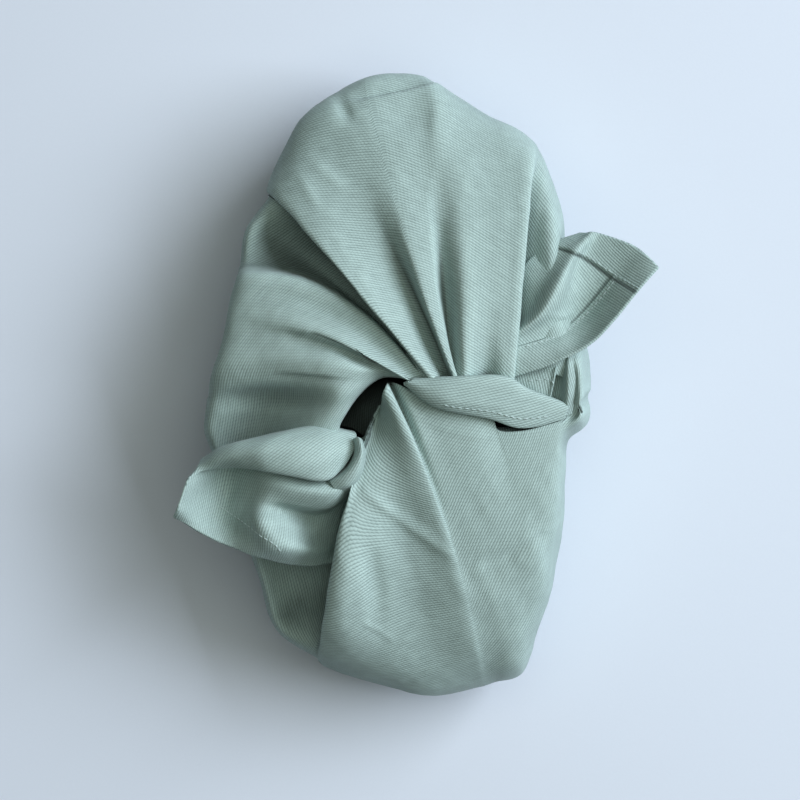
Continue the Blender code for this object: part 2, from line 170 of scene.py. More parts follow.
UPPER_FOLDS = (
    ("upper_tuck", 42.0, 9.0, -4.0, 46.8, 61.0, -11.0, 56.4, 99.2, -5.0, 48, 0),
    ("upper_edge", 45.6, 6.4, 3.0, 50.4, 60.0, 2.4, 54.0, 103.2, 0.6, 48, 1),
    ("upper_band", 41.0, 6.4, 2.5, 43.4, 58.0, 3.2, 46.0, 108.8, 0.4, 48, 0),
    ("valley_right", 33.6, 6.4, -3.5, 36.0, 56.0, 4.2, 36.0, 113.5, 0.2, 47, 0),
    ("crest_right", 26.4, 6.4, 3.5, 24.8, 57.0, 5.0, 26.0, 119.2, 0.4, 47, 0),
    ("valley_mid", 22.6, 6.4, 3.0, 16.4, 58.0, -2.4, 15.0, 127.0, -0.4, 47, 0),
    ("crest_mid_edge", 24.2, 6.4, 3.6, 13.2, 54.5, 3.0, 8.0, 130.6, -0.1, 43, 1),
    ("crest_mid", 22.8, 6.4, 4.0, 4.6, 57.0, 3.8, -14.0, 129.0, -0.2, 43, 0),
    ("valley_left", 20.4, 6.4, -3.6, -1.4, 56.0, -3.4, -37.0, 115.0, -2.4, 43, 0),
    ("crest_left", 15.6, 6.4, 4.5, -17.0, 49.5, 3.2, -47.0, 99.5, -0.8, 43, 0),
    ("left_edge", 13.0, 6.6, 4.0, -22.6, 49.8, 2.6, -52.8, 84.0, -1.0, 43, 1),
    ("left_tuck", 12.8, 6.8, 5.0, -16.5, 51.0, -18.0, -51.5, 82.0, -14.0, 46, 0),
    ("hollow", 12.0, 7.0, 5.0, -28.5, 50.5, -25.0, -61.0, 69.0, -20.0, 46, 0),
    ("hollow_low", 11.2, 7.0, 4.5, -26.2, 44.8, -22.5, -64.0, 54.8, -18.0, 46, 0),
)
LEFT_FOLDS = (
    ("shoulder_top", 10.4, 6.9, 1.5, -26.4, 42.0, -5.0, -65.2, 49.6, -6.0, 56, 0),
    ("shoulder_crest", 5.6, 7.4, 1.5, -31.0, 35.0, -4.0, -67.0, 43.0, -5.0, 57, 0),
    ("shoulder_lee", 3.4, 7.8, 3.0, -35.4, 27.0, 1.6, -69.0, 34.5, -3.4, 58, 0),
    ("groove", -1.0, 9.2, -1.0, -37.0, 24.0, -2.6, -71.0, 25.5, -3.6, 58, 0),
    ("panel", -7.0, 9.2, -3.0, -38.0, 16.0, 1.6, -74.8, 12.8, -3.0, 57, 0),
    ("crease", -11.5, 6.8, -3.0, -40.0, 9.0, -0.6, -76.8, 4.0, -5.4, 49, 0),
    ("panel_low", -17.0, 1.6, -3.0, -41.0, 2.5, -8.8, -77.6, -4.8, -15.0, 44, 0),
    ("shade", -21.5, -4.8, -3.0, -46.0, -5.6, -16.6, -78.0, -12.8, -20.0, 40, 0),
    ("shade_low", -24.5, -10.8, -5.0, -50.0, -16.0, -19.6, -74.4, -23.2, -21.0, 37, 0),
    ("behind_corner", -23.5, -15.5, -6.0, -46.0, -36.0, -18.0, -64.8, -48.8, -14.0, 38, 0),
    ("back", -20.5, -17.5, -9.0, -38.0, -58.0, -30.0, -56.8, -70.0, -25.0, 34, 0),
    ("back_low", -17.0, -17.0, -9.0, -32.0, -64.0, -34.0, -48.8, -92.8, -28.0, 32, 0),
)
LOWER_FOLDS = (
    ("lower_tuck", -13.0, -15.0, -10.0, -20.0, -56.0, -26.0, -34.4, -102.8, -18.0, 34, 0),
    ("lower_edge", -12.4, -12.0, -5.0, -23.8, -51.0, 2.0, -32.6, -104.0, 3.5, 35, 1),
    ("lower_roll", -10.6, -8.0, -8.0, -20.0, -52.0, 3.2, -25.4, -107.4, 6.0, 35, 0),
    ("lower_band", -8.6, -4.2, -11.5, -9.6, -50.0, 0.6, -5.0, -114.6, 1.4, 31, 0),
    ("lower_valley", -7.6, -1.4, -8.0, 1.0, -50.0, -1.8, 13.0, -118.4, -2.6, 28, 0),
    ("ridge", -6.8, 3.2, 1.6, 16.0, -50.0, 2.4, 31.0, -115.0, 0.4, 29, 0),
    ("ridge_edge", -5.2, 6.4, 1.2, 17.8, -49.5, 2.3, 33.4, -114.5, 0.4, 29, 0),
    ("ridge_foot", -4.4, 6.9, -9.0, 18.4, -49.2, 1.7, 35.6, -113.8, 0.2, 29, 0),
    ("front_start", -1.4, 6.6, -3.0, 21.0, -48.6, 1.6, 38.0, -112.9, -0.1, 30, 0),
    ("front_a", 6.4, 3.0, -1.0, 29.0, -51.0, 1.0, 48.0, -109.8, -0.8, 34, 0),
    ("front_b", 28.0, -5.2, 2.5, 40.5, -49.5, 0.8, 55.2, -92.0, -1.0, 44, 0),
    ("front_c", 37.2, -8.0, 2.2, 48.0, -44.5, 0.8, 60.8, -75.0, 0.6, 53, 0),
    ("front_gap", 39.2, -12.0, 2.0, 51.5, -41.5, 0.8, 62.2, -66.0, 0.6, 55, 0),
    ("front_d", 48.4, -12.4, 2.0, 58.0, -36.0, 0.8, 64.8, -52.0, 0.6, 57, 0),
    ("front_e", 59.2, -9.8, 1.0, 63.2, -20.8, 0.6, 66.4, -28.8, 0.4, 58, 0),
)
FOLDS = LOOP_FOLDS + UPPER_FOLDS + LEFT_FOLDS + LOWER_FOLDS

STATIONS = "abcde"
SHEET_COLUMNS = ("name",) + tuple(f"{axis}_{station}" for station in STATIONS for axis in "xyz")
# Each row is one line along the cloth from the knot (a) outward (e), in the order in
# which they lie side by side.
BAND_LINES = (
    ("tucked", 5.2, 9.2, 79, 22.0, 9.6, 80, 41.6, 9.6, 80, 51.2, 4.8, 79, 66.8, -1.2, 77),
    ("top_edge", 4.8, 8.4, 83, 22.0, 9.0, 86, 42.8, 9.0, 86, 52.0, 4.0, 84.5, 67.2, -2.0, 79.5),
    ("middle", 3.6, 7.2, 84, 19.2, 3.6, 87.8, 40.0, 0.8, 87, 51.2, -2.0, 85, 67.2, -3.2, 80.5),
    ("hem", 2.4, 6.4, 83, 16.0, -1.2, 86.5, 36.0, -4.4, 86.5, 49.6, -7.2, 84.5, 66.8, -4.8, 80.5),
    ("lower_edge", 1.4, 6.0, 81, 13.6, -2.8, 83.5, 34.8, -7.4, 84.5, 48.8, -11.4, 82.5, 65.2, -8.0, 79.5),
    ("turned_under", 3.2, 7.2, 77, 16.0, -0.8, 79.5, 36.0, -4.8, 80.5, 48.8, -8.8, 79, 64.8, -6.0, 76.5),
)
POCKET_LINES = (
    ("left", 43.2, 9.6, 78, 44.8, 6.0, 78, 47.2, 3.2, 78, 50.4, 0.0, 78, 53.6, -4.0, 76),
    ("middle", 52.0, 13.6, 77, 52.8, 8.8, 79, 53.6, 4.8, 79.5, 55.2, 0.8, 79, 56.4, -4.8, 76),
    ("edge_inside", 60.4, 16.8, 76.5, 60.4, 11.2, 79.5, 59.8, 6.4, 80, 58.8, 1.6, 79.5, 57.8, -5.2, 76),
    ("edge", 62.8, 17.6, 77, 62.4, 12.0, 80.3, 61.4, 6.4, 80.8, 60.2, 0.8, 80.2, 59.0, -5.6, 76),
    ("fold", 63.2, 17.6, 73, 62.8, 12.0, 74, 61.8, 6.4, 74, 60.6, 0.8, 74.5, 59.4, -6.0, 73),
    ("strip", 64.8, 17.6, 74, 64.6, 12.0, 75, 64.0, 6.4, 75.5, 63.4, 0.8, 76, 62.8, -6.0, 75),
    ("loop_side", 67.2, 19.2, 80, 67.2, 12.0, 81.5, 67.2, 6.4, 82, 67.2, 0.8, 81.5, 66.2, -6.4, 78.5),
    ("on_loop", 70.4, 19.2, 79, 70.4, 12.0, 80, 70.8, 6.4, 80.3, 70.4, 0.8, 79.5, 68.8, -5.6, 77.5),
)
RIGHT_CORNER_LINES = (
    ("foot", 44.8, 26.4, 68, 46.8, 39.2, 70, 50.0, 54.0, 70, 59.2, 61.6, 69, 72.0, 66.4, 68),
    ("wall", 44.4, 25.6, 75.5, 51.8, 37.2, 76, 57.0, 48.4, 75.5, 65.6, 60.0, 73.0, 75.2, 66.4, 71.0),
    ("crest", 43.2, 24.0, 80, 56.4, 34.4, 84.5, 63.2, 45.2, 84, 70.0, 58.4, 77, 76.8, 66.8, 73),
    ("inside", 42.8, 22.0, 80.5, 60.4, 31.2, 79.5, 67.2, 41.0, 77.5, 73.2, 57.0, 73.0, 79.8, 66.2, 72),
    ("hem", 42.4, 20.0, 80.5, 63.2, 26.8, 77, 72.0, 34.0, 72, 84.8, 49.2, 75.5, 93.6, 61.2, 77.5),
    ("outer_middle", 41.2, 16.0, 80.5, 62.8, 21.6, 80.5, 75.2, 28.8, 77.5, 90.0, 46.0, 80.5, 98.8, 57.2, 81),
    ("outer_edge", 40.0, 8.0, 79, 62.4, 15.2, 83.5, 77.2, 23.2, 85.5, 94.8, 43.2, 86.5, 103.2, 52.8, 84.5),
)
LEFT_CORNER_LINES = (
    ("behind", -19.2, -12.0, 66, -32.8, -10.0, 66, -55.2, -14.4, 66, -70.4, -18.4, 62, -78.8, -22.8, 60),
    ("roll_top", -17.6, -13.6, 71, -32.8, -11.2, 76, -55.2, -14.8, 78, -70.4, -18.8, 74, -79.6, -23.6, 64),
    ("roll_high", -18.0, -19.2, 74, -31.2, -18.4, 82, -53.6, -20.4, 83.5, -70.4, -23.2, 76, -80.8, -25.6, 68),
    ("roll_edge", -22.4, -27.2, 75, -29.6, -32.0, 79.5, -52.8, -28.8, 80, -68.8, -27.2, 70, -82.2, -28.4, 70),
    ("groove_a", -21.6, -25.6, 68, -30.4, -29.6, 69, -52.8, -26.4, 71, -68.8, -25.6, 61, -84.2, -31.4, 72),
    ("second_roll", -17.6, -29.6, 73, -26.4, -36.4, 77, -51.2, -33.6, 74, -69.6, -30.4, 58, -85.4, -34.6, 73),
    ("second_low", -19.2, -36.0, 69, -28.0, -42.8, 71, -52.0, -39.2, 72, -70.4, -37.6, 57, -86.4, -37.8, 73),
    ("groove_b", -22.4, -41.6, 58, -32.8, -46.0, 58, -53.6, -42.8, 71, -71.2, -43.2, 57.5, -87.6, -41.2, 73),
    ("third_top", -24.8, -51.2, 52, -35.2, -52.8, 60, -53.6, -49.6, 75, -71.2, -48.4, 58.5, -88.8, -44.0, 73),
    ("third_low", -25.6, -59.2, 52, -32.0, -60.4, 60, -49.6, -58.0, 74, -71.2, -52.8, 61, -89.6, -45.6, 71.5),
    ("lower_edge", -26.4, -64.8, 53, -36.8, -66.4, 58, -56.0, -63.2, 65, -72.0, -56.4, 63, -90.4, -47.2, 69),
)
MOUTH_FOLD_LINES = (
    ("left", -5.6, 8.8, 42.0, -13.6, 4.8, 42.0, -19.6, -0.8, 42.0, -22.4, -5.6, 44.0, -25.6, -9.6, 46.0),
    ("middle", -3.6, 7.6, 50.0, -9.2, 2.8, 49.0, -14.4, -2.0, 49.0, -17.2, -6.4, 48.0, -19.2, -11.2, 48.0),
    ("right", 0.0, 6.4, 54.0, -4.4, 0.8, 53.0, -8.8, -4.4, 52.0, -11.6, -9.6, 50.0, -14.4, -14.4, 48.0),
)
FRONT_FOLD_LINES = (
    ("high", 34.4, -10.0, 71, 38.0, -10.6, 72.5, 44.0, -11.0, 73, 50.0, -11.0, 73, 58.0, -9.6, 72),
    ("middle", 34.4, -12.0, 76, 38.4, -12.4, 76.5, 44.4, -12.6, 76.5, 50.4, -12.6, 76.5, 58.0, -11.2, 75),
    ("low", 34.4, -16.0, 71, 38.8, -16.4, 71, 44.8, -16.4, 71, 50.8, -16.4, 71, 58.0, -14.8, 71),
    ("deep", 34.4, -20.0, 66, 38.8, -20.8, 66, 44.8, -20.8, 66, 50.8, -20.8, 66, 58.0, -19.2, 66),
)
LEFT_WRAP_LINES = (
    ("tucked", -19.2, -16.0, 72, -18.8, -20.8, 72, -21.6, -26.4, 72, -25.6, -29.6, 72, -28.8, -31.2, 71),
    ("inner", -17.6, -15.2, 77, -17.2, -20.8, 79, -20.0, -27.6, 80, -24.0, -31.2, 78.5, -28.0, -32.8, 76),
    ("crest", -16.0, -15.2, 78, -15.2, -20.8, 80.5, -17.2, -28.4, 80.5, -20.8, -33.6, 79, -26.4, -35.6, 76.5),
    ("outer", -14.8, -16.0, 74, -13.6, -21.6, 76, -15.2, -29.6, 76, -18.8, -35.6, 74, -25.2, -37.6, 73),
)

CREASE_COLUMNS = ("x_a", "y_a", "x_b", "y_b", "x_c", "y_c", "left", "right", "rise_a", "rise_b", "rise_c")
# Each row is one small crease through three places, its reach to either side, and its rise at each place.
BODY_CREASES = (
    (76.0, 1.6, 69.6, -5.2, 56.0, -11.2, 1.8, 1.4, -1.5, -2.4, -1.0),
    (-13.6, -37.2, -0.8, -46.8, 20.8, -62.4, 2.2, 2.2, 0.6, 1.1, 0.4),
    (-36.0, 26.5, -24.0, 22.0, -2.0, 12.0, 1.0, 1.0, -0.6, -1.6, -1.0),
    (-50.0, 10.0, -38.0, 9.0, -20.0, 7.6, 1.0, 2.6, -0.4, -1.6, -0.8),
    (-74.0, 0.8, -52.0, 0.0, -24.0, -2.0, 5.0, 3.0, -1.0, -2.0, -0.8),
    (-18.0, 121.0, -4.0, 124.0, 14.0, 128.0, 5.0, 0.9, -0.8, -2.4, -0.6),
    (-24.0, 121.0, -22.0, 116.0, -19.0, 111.0, 2.2, 2.2, -0.8, -1.4, -0.2),
    (-34.0, 98.0, -28.0, 90.0, -20.0, 84.0, 2.0, 3.0, 0.1, 0.7, 0.1),
    (-40.0, 92.0, -36.0, 84.0, -30.0, 76.0, 2.0, 3.0, 0.1, 0.6, 0.1),
    (-12.8, -58.0, -9.2, -72.0, -7.6, -88.0, 4.0, 4.0, -0.3, -1.6, -0.4),
    (31.6, -67.0, 44.0, -61.0, 57.0, -54.0, 1.6, 3.0, 0.6, -0.6, -0.4),
    (-13.0, -90.0, -9.0, -92.0, -3.0, -96.0, 1.2, 1.2, 0.4, 0.4, 0.2),
    (2.0, -2.0, 30.0, -14.8, 66.0, -8.0, 3.0, 1.0, 0.5, 0.9, 0.5),
)
LEFT_CORNER_CREASES = (
    (-54.0, -40.0, -56.0, -52.0, -46.0, -61.0, 3.0, 3.0, 0.4, 0.9, 0.3),
)
RIGHT_CORNER_CREASES = (
    (60.0, 34.0, 66.0, 34.0, 72.0, 38.0, 1.5, 2.0, 0.2, 0.5, 0.1),
)
BAND_CREASES = (
    (14.0, 2.0, 26.0, -1.0, 44.0, -1.5, 2.0, 2.0, 0.1, 0.25, 0.1),
)

# Which way the twill lines run at places (x, y, angle) of each piece, seen from above.
BODY_WEAVE = (
    (-28.0, 84.0, 5.0), (-20.0, 68.0, 3.0), (-10.0, 52.0, 1.0), (-2.0, 36.0, 0.0), (4.0, 22.0, 5.0),
    (12.8, 44.0, 1.0), (20.0, 20.0, -1.0), (8.0, 80.0, -19.0), (10.0, 64.0, -26.0), (0.0, 110.0, -10.0),
    (28.0, 80.0, -26.0), (36.0, 48.0, -28.0), (42.0, 20.0, -29.0), (50.0, 88.0, -32.0),
    (-52.0, 68.0, 48.0), (-44.0, 60.0, 47.0), (-60.0, 60.0, 44.0), (-40.0, 38.0, 20.0), (-20.0, 28.0, 10.0),
    (-44.0, 22.0, 36.0), (-36.0, 15.2, 36.0), (-24.0, 15.2, 42.0), (-66.0, 20.0, 44.0),
    (-60.0, 2.0, 68.0), (-40.0, 4.8, 78.0), (-24.0, 3.2, 83.0), (-32.0, -4.0, 73.0), (-44.0, -6.0, 63.0),
    (-56.0, -6.0, 57.0), (-40.0, -72.0, 113.0), (-50.0, -56.0, 110.0), (-16.0, -12.0, 140.0),
    (-8.0, -20.0, 172.0), (-10.0, -32.0, 171.0), (-20.0, -64.0, 179.0), (-16.0, -80.0, 183.0),
    (-24.0, -84.0, 176.0), (0.0, -80.0, 177.0), (8.0, -64.0, 169.0), (4.0, -30.0, 172.0),
    (12.0, -8.0, 194.0), (16.0, -18.0, 198.0), (20.0, -24.0, 204.0), (32.0, -16.0, 218.0),
    (28.0, -10.0, 222.0), (36.0, -76.0, 247.0), (48.0, -50.0, 238.0), (60.0, -14.0, 240.0),
    (70.0, 8.0, 263.0), (66.0, 40.0, 300.0),
)
BAND_WEAVE = ((8.0, 4.0, 20.0), (20.0, 4.0, 23.0), (36.0, 4.0, 31.0), (48.0, 2.0, 42.0))
POCKET_WEAVE = ((58.0, 6.0, 111.0), (64.0, 6.0, 114.0))
RIGHT_CORNER_WEAVE = (
    (54.0, 52.0, 94.0), (56.0, 40.0, 91.0), (60.0, 52.0, 93.0), (76.0, 52.0, 120.0), (70.0, 40.0, 124.0),
    (56.0, 22.0, 151.0), (48.0, 16.0, 151.0), (80.0, 36.0, 168.0), (96.0, 54.0, 172.0), (84.0, 60.0, 172.0),
)
LEFT_CORNER_WEAVE = (
    (-64.0, -22.0, 41.0), (-48.0, -20.0, 35.0), (-32.0, -20.0, 28.0), (-24.0, -22.0, 24.0),
    (-78.0, -36.0, 93.0), (-68.0, -48.0, 88.0), (-40.0, -40.0, 77.0), (-28.0, -42.0, 75.0),
    (-44.0, -52.0, 101.0), (-36.0, -58.0, 114.0),
)
OPENING_WEAVE = ((-16.0, -2.0, 88.0), (-10.0, 2.0, 92.0), (40.0, -12.0, 90.0))
LEFT_WRAP_WEAVE = ((-17.0, -24.0, 60.0), (-19.0, -12.0, 80.0))

Folds = namedtuple("Folds", "near mid rim lifts rim_z under")
Sheet = namedtuple("Sheet", "name lines weave creases hems across along thickness wrinkle seed sunk rests_on")

# The weave may part after these folds, where one layer of cloth lies over the next.
LAYER_ENDS = ("upper_tuck", "crest_mid", "left_tuck", "lower_tuck", "ridge_foot")

# A hem is from station, from line and height. across and along are steps in each gap between lines and
# stations. The value before rests_on is the painted shade of a sheet that lies deep in the folds, from 0 to
# 1.
SHEETS = (
    Sheet("knot_pocket_cloth", POCKET_LINES, POCKET_WEAVE, (), (),
          10, 22, 1.0, 0.08, 22, 0.1, "bag_body_cloth"),
    # The folds inside the openings are darkened by painted shade over the whole sheet.
    Sheet("mouth_fold_cloth", MOUTH_FOLD_LINES, OPENING_WEAVE, (), (),
          24, 20, 1.0, 0.15, 26, 1.0, "bag_body_cloth"),
    Sheet("front_fold_cloth", FRONT_FOLD_LINES, OPENING_WEAVE, (), (),
          20, 12, 1.0, 0.05, 27, 0.6, "bag_body_cloth"),
    Sheet("knot_band_cloth", BAND_LINES, BAND_WEAVE, BAND_CREASES, (),
          12, 30, 1.4, 0.12, 21, 0.0, "bag_body_cloth"),
    Sheet("right_corner_cloth", RIGHT_CORNER_LINES, RIGHT_CORNER_WEAVE, RIGHT_CORNER_CREASES,
          ((3.0, NEVER, 0.8), (NEVER, 4.0, 0.8)),
          14, 32, 1.2, 0.15, 23, 0.0, "bag_body_cloth"),
    Sheet("left_corner_cloth", LEFT_CORNER_LINES, LEFT_CORNER_WEAVE, LEFT_CORNER_CREASES, (),
          12, 32, 1.2, 0.2, 24, 0.0, "bag_body_cloth"),
    Sheet("left_wrap_cloth", LEFT_WRAP_LINES, LEFT_WRAP_WEAVE, (), (),
          10, 14, 1.0, 0.08, 25, 0.0, "left_corner_cloth"),
)
# Rows of stitches: sheet, from station, from line, to station, to line.
STITCH_RUNS = (
    ("knot_band_cloth", 1.15, 3.05, 3.5, 3.05),
    ("right_corner_cloth", 3.09, 2.2, 3.09, 5.9),
    ("right_corner_cloth", 0.4, 4.3, 2.9, 4.3),
    ("left_corner_cloth", 3.0, 7.0, 1.9, 9.2),
    ("knot_pocket_cloth", 1.2, 0.9, 1.9, 2.7),
)


def placed(points):
    """Sighted points (x, y, z) moved to where they lie in the bag's frame."""
    points = np.asarray(points, float)
    spread = (EYE_HEIGHT - points[..., 2:]) / (EYE_HEIGHT - KNOT_HEIGHT)
    plan = points[..., :2] * spread - np.array(BAG_CENTRE)
    return np.concatenate([plan, points[..., 2:]], axis=-1)


def sighted(points):
    """The plan points, at the knot's height, where placed points are seen from above."""
    spread = (EYE_HEIGHT - points[..., 2:]) / (EYE_HEIGHT - KNOT_HEIGHT)
    return (points[..., :2] + np.array(BAG_CENTRE)) / spread


def columns_of(table, names):
    """The columns of a table by name."""
    return {name: np.array([row[i] for row in table]) for i, name in enumerate(names)}


def unit(vectors):
    """The vectors, each made one long."""
    return vectors / np.maximum(np.linalg.norm(vectors, axis=-1, keepdims=True), 1e-9)


def through_three(near, mid, far, s):
    """The quadratic through the near, middle and far values, at each s from 0 to 1."""
    s = np.reshape(s, np.shape(s) + (1,) * np.ndim(near))
    return near * (1 - s) * (1 - 2 * s) + mid * 4 * s * (1 - s) + far * s * (2 * s - 1)


def lift_at(near, mid, far, s):
    """The cubic through the lifts at the slit, halfway, at four fifths, and none at the rim."""
    total = 0.0
    for value, knot in zip((near, mid, far), LIFT_PLACES):
        weight = np.ones_like(s)
        for other in LIFT_PLACES:
            if other != knot:
                weight = weight * (s - other) / (knot - other)
        total = total + weight[:, None] * value
    return total


def smooth_run(points, counts, closed):
    """A curve through points along axis 1, counts[i] samples from point i to the next one."""
    ahead = np.roll(points, -1, axis=1)
    gap = np.sqrt(np.maximum(np.linalg.norm(ahead - points, axis=2), 1e-3))[..., None]
    slope = (ahead - points) / gap
    before_gap, before_slope = np.roll(gap, 1, axis=1), np.roll(slope, 1, axis=1)
    tangent = (before_gap * slope + gap * before_slope) / (before_gap + gap)
    if not closed:
        tangent[:, 0], tangent[:, -1] = slope[:, 0], slope[:, -2]
    runs = []
    for i in range(points.shape[1] - (0 if closed else 1)):
        j = (i + 1) % points.shape[1]
        t = (np.arange(counts[i]) / counts[i])[None, :, None]
        p, q, h = points[:, i:i + 1], points[:, j:j + 1], gap[:, i:i + 1]
        a, b = tangent[:, i:i + 1] * h, tangent[:, j:j + 1] * h
        runs.append((2 * t**3 - 3 * t**2 + 1) * p + (t**3 - 2 * t**2 + t) * a
                    + (3 * t**2 - 2 * t**3) * q + (t**3 - t**2) * b)
    if not closed:
        runs.append(points[:, -1:])
    return np.concatenate(runs, axis=1)


def nearest_on_slit(point):
    """The place on the slit's line that lies nearest to a plan point."""
    best = None
    for a, b in zip(SLIT_LINE, SLIT_LINE[1:]):
        a, b = np.array(a), np.array(b)
        t = np.clip((point - a) @ (b - a) / ((b - a) @ (b - a)), 0, 1)
        on_line = a + t * (b - a)
        if best is None or np.linalg.norm(on_line - point) < np.linalg.norm(best - point):
            best = on_line
    return best


def fold_values():
    """The fold lines as arrays: plan points, lifts, height of the rim, and which ones are a layer's edge."""
    table = columns_of(FOLDS, FOLD_COLUMNS)
    near, mid, rim = (np.stack([table[f"{place}_x"], table[f"{place}_y"]], axis=1).astype(float)
                      for place in ("near", "mid", "rim"))
    lifts = np.stack([table[f"{place}_lift"] for place in ("near", "mid", "far")]).astype(float)
    return Folds(near, mid, rim, lifts, table["rim_z"].astype(float), table["under"].astype(bool))


def unfolded(values, under):
    """The values with each layer's edge set between its neighbours, so that no layer lies over another."""
    values = values.copy()
    for i in np.flatnonzero(under):
        values[i] = (values[i - 1] + values[(i + 1) % len(under)]) / 2
    return values


def lip_rows(folds, first, steps):
    """Guide points of the cloth's edge, turned down into the slit."""
    rows = []
    for step in range(steps, 0, -1):
        share = step / steps
        spread_out = folds.near * (1 - share) + unfolded(folds.near, folds.under) * share
        plan = []
        for point in spread_out:
            to_line = nearest_on_slit(point) - point
            distance = np.linalg.norm(to_line)
            move = min(LIP_IN, max(distance - SLIT_HALF_WIDTH, 0.0)) * math.sin(share * math.pi / 2)
            plan.append(point + to_line / max(distance, 1e-6) * move)
        level = first[:, 2] * (1 - share) + (CROWN_HEIGHT - LIP_DEPTH) * share
        rows.append(np.column_stack([plan, level]))
    return np.array(rows)


def body_rows(folds, shape):
    """Guide points (row, fold, xyz) from the slit, over the crown, down to the base's edge."""
    s = np.sin(np.linspace(0, math.pi / 2, shape.crown_rows + 1))
    plan = through_three(folds.near, folds.mid, folds.rim, s)
    crown = (1 - s ** CROWN_POWER[0]) ** CROWN_POWER[1]
    height = folds.rim_z + (CROWN_HEIGHT - folds.rim_z) * crown[:, None] + lift_at(*folds.lifts, s)
    rows = [np.dstack([plan, height])]
    outward = unit(folds.rim)
    base = sum(np.roll(folds.rim, k, axis=0) for k in BASE_NEIGHBOURS) / len(BASE_NEIGHBOURS)
    base = base - outward * BASE_INSET
    for angle in np.linspace(0, math.pi / 2, shape.side_rows + 1)[1:]:
        edge = base + (folds.rim - base) * math.cos(angle)
        edge = edge + outward * (SIDE_WAVE * math.sin(2 * angle) * folds.lifts[2])[:, None]
        level = folds.rim_z * (1 - math.sin(angle))
        rows.append(np.dstack([edge[None], level[None]]))
    body = np.concatenate(rows)
    return np.concatenate([lip_rows(folds, body[0], shape.lip_rows), body])


def even_counts(guides, step):
    """How many columns each gap between neighbouring folds takes, always an even number."""
    widths = np.linalg.norm(np.roll(guides, -1, axis=1) - guides, axis=2).max(axis=0)
    return np.maximum(np.round(widths / step / 2).astype(int), 1) * 2


def bag_surface(shape):
    """The outer face of the bag as a closed grid, and the columns of its folds."""
    guides = placed(body_rows(fold_values(), shape))
    counts = even_counts(guides, shape.column_step)
    points = smooth_run(guides, counts, True)
    rings = np.array([points[-1] * share for share in BASE_RINGS])
    starts = np.concatenate([[0], np.cumsum(counts)[:-1]])
    return np.concatenate([points, rings]), starts


def side_steps(points, closed):
    """The step at each point of a grid towards the next column."""
    if closed:
        return (np.roll(points, -1, axis=1) - np.roll(points, 1, axis=1)) / 2
    return np.gradient(points, axis=1)


def grid_normals(points, closed):
    """Unit normals of a grid of points (row, column, xyz)."""
    return unit(np.cross(np.gradient(points, axis=0), side_steps(points, closed)))


def flattened(vectors, normals):
    """Unit vectors along the cloth, as near as they can be to the given ones."""
    return unit(vectors - (vectors * normals).sum(axis=2, keepdims=True) * normals)


def weave_aim(points, normals, table, carry_from):
    """Which way the twill lines should run at each point, and how strongly the map keeps to it."""
    plan = sighted(points)
    aim = np.zeros(points.shape)
    for x, y, angle in table:
        weight = ((plan[..., 0] - x) ** 2 + (plan[..., 1] - y) ** 2 + MAP_NEAR) ** MAP_FALL
        heading = math.radians(angle)
        aim += weight[..., None] * np.array([math.cos(heading), math.sin(heading), 0.0])
    aim = flattened(aim, normals)
    trust = np.full(points.shape[:2], MAP_TRUST)
    if carry_from:
        ahead = flattened(np.gradient(points, axis=0), normals)
        side = np.cross(normals, ahead)
        a = (aim[carry_from] * ahead[carry_from]).sum(axis=1)[None, :, None]
        b = (aim[carry_from] * side[carry_from]).sum(axis=1)[None, :, None]
        aim[carry_from:] = a * ahead[carry_from:] + b * side[carry_from:]
        trust[carry_from:] = 0.0
    return aim, trust


def spread_back(on_down, on_side):
    """Values on the steps of a grid, added where each step ends and taken off where it starts."""
    total = np.zeros((len(on_side), on_down.shape[1]))
    total[1:] += on_down
    total[:-1] -= on_down
    total[:, 1:] += on_side
    total[:, :-1] -= on_side
    return total


def slope_fit(points, rounds, cuts):
    """A function that fits values on a grid to their slopes, from the values of an earlier fit."""
    step_down, step_side = np.diff(points, axis=0), np.diff(points, axis=1)
    long_down = np.linalg.norm(step_down, axis=2) + 1e-3
    long_side = np.linalg.norm(step_side, axis=2) + 1e-3
    mean_down = np.pad((long_down[1:] + long_down[:-1]) / 2, ((1, 1), (0, 0)), mode="edge")
    mean_side = np.pad((long_side[:, 1:] + long_side[:, :-1]) / 2, ((0, 0), (1, 1)), mode="edge")
    weight_down = (mean_side[1:] + mean_side[:-1]) / 2 / long_down
    weight_side = (mean_down[:, 1:] + mean_down[:, :-1]) / 2 / long_side
    weight_side[:, list(cuts)] *= MAP_CUT_HOLD
    scale = np.zeros(points.shape[:2])
    scale[1:] += weight_down
    scale[:-1] += weight_down
    scale[:, 1:] += weight_side
    scale[:, :-1] += weight_side

    def stiffness(f):
        return spread_back(weight_down * np.diff(f, axis=0), weight_side * np.diff(f, axis=1))

    def fitted(slope, f):
        rise_down = ((slope[1:] + slope[:-1]) / 2 * step_down).sum(axis=2)
        rise_side = ((slope[:, 1:] + slope[:, :-1]) / 2 * step_side).sum(axis=2)
        if f is None:
            middle = points.shape[0] // 2
            f = np.zeros(points.shape[:2])
            f[0, 1:] = np.cumsum(rise_side[middle])
            f[0] -= np.cumsum(rise_down, axis=0)[middle - 1]
            f[1:] = f[0] + np.cumsum(rise_down, axis=0)
        left = spread_back(weight_down * rise_down, weight_side * rise_side) - stiffness(f)
        smoothed = left / scale
        heading, power = smoothed.copy(), (left * smoothed).sum()
        for _ in range(rounds):
            push = stiffness(heading)
            size = power / max((heading * push).sum(), 1e-20)
            f = f + size * heading
            left = left - size * push
            smoothed = left / scale
            new_power = (left * smoothed).sum()
            if new_power < 1e-9:
                break
            heading = smoothed + new_power / power * heading
            power = new_power
        return f

    return fitted


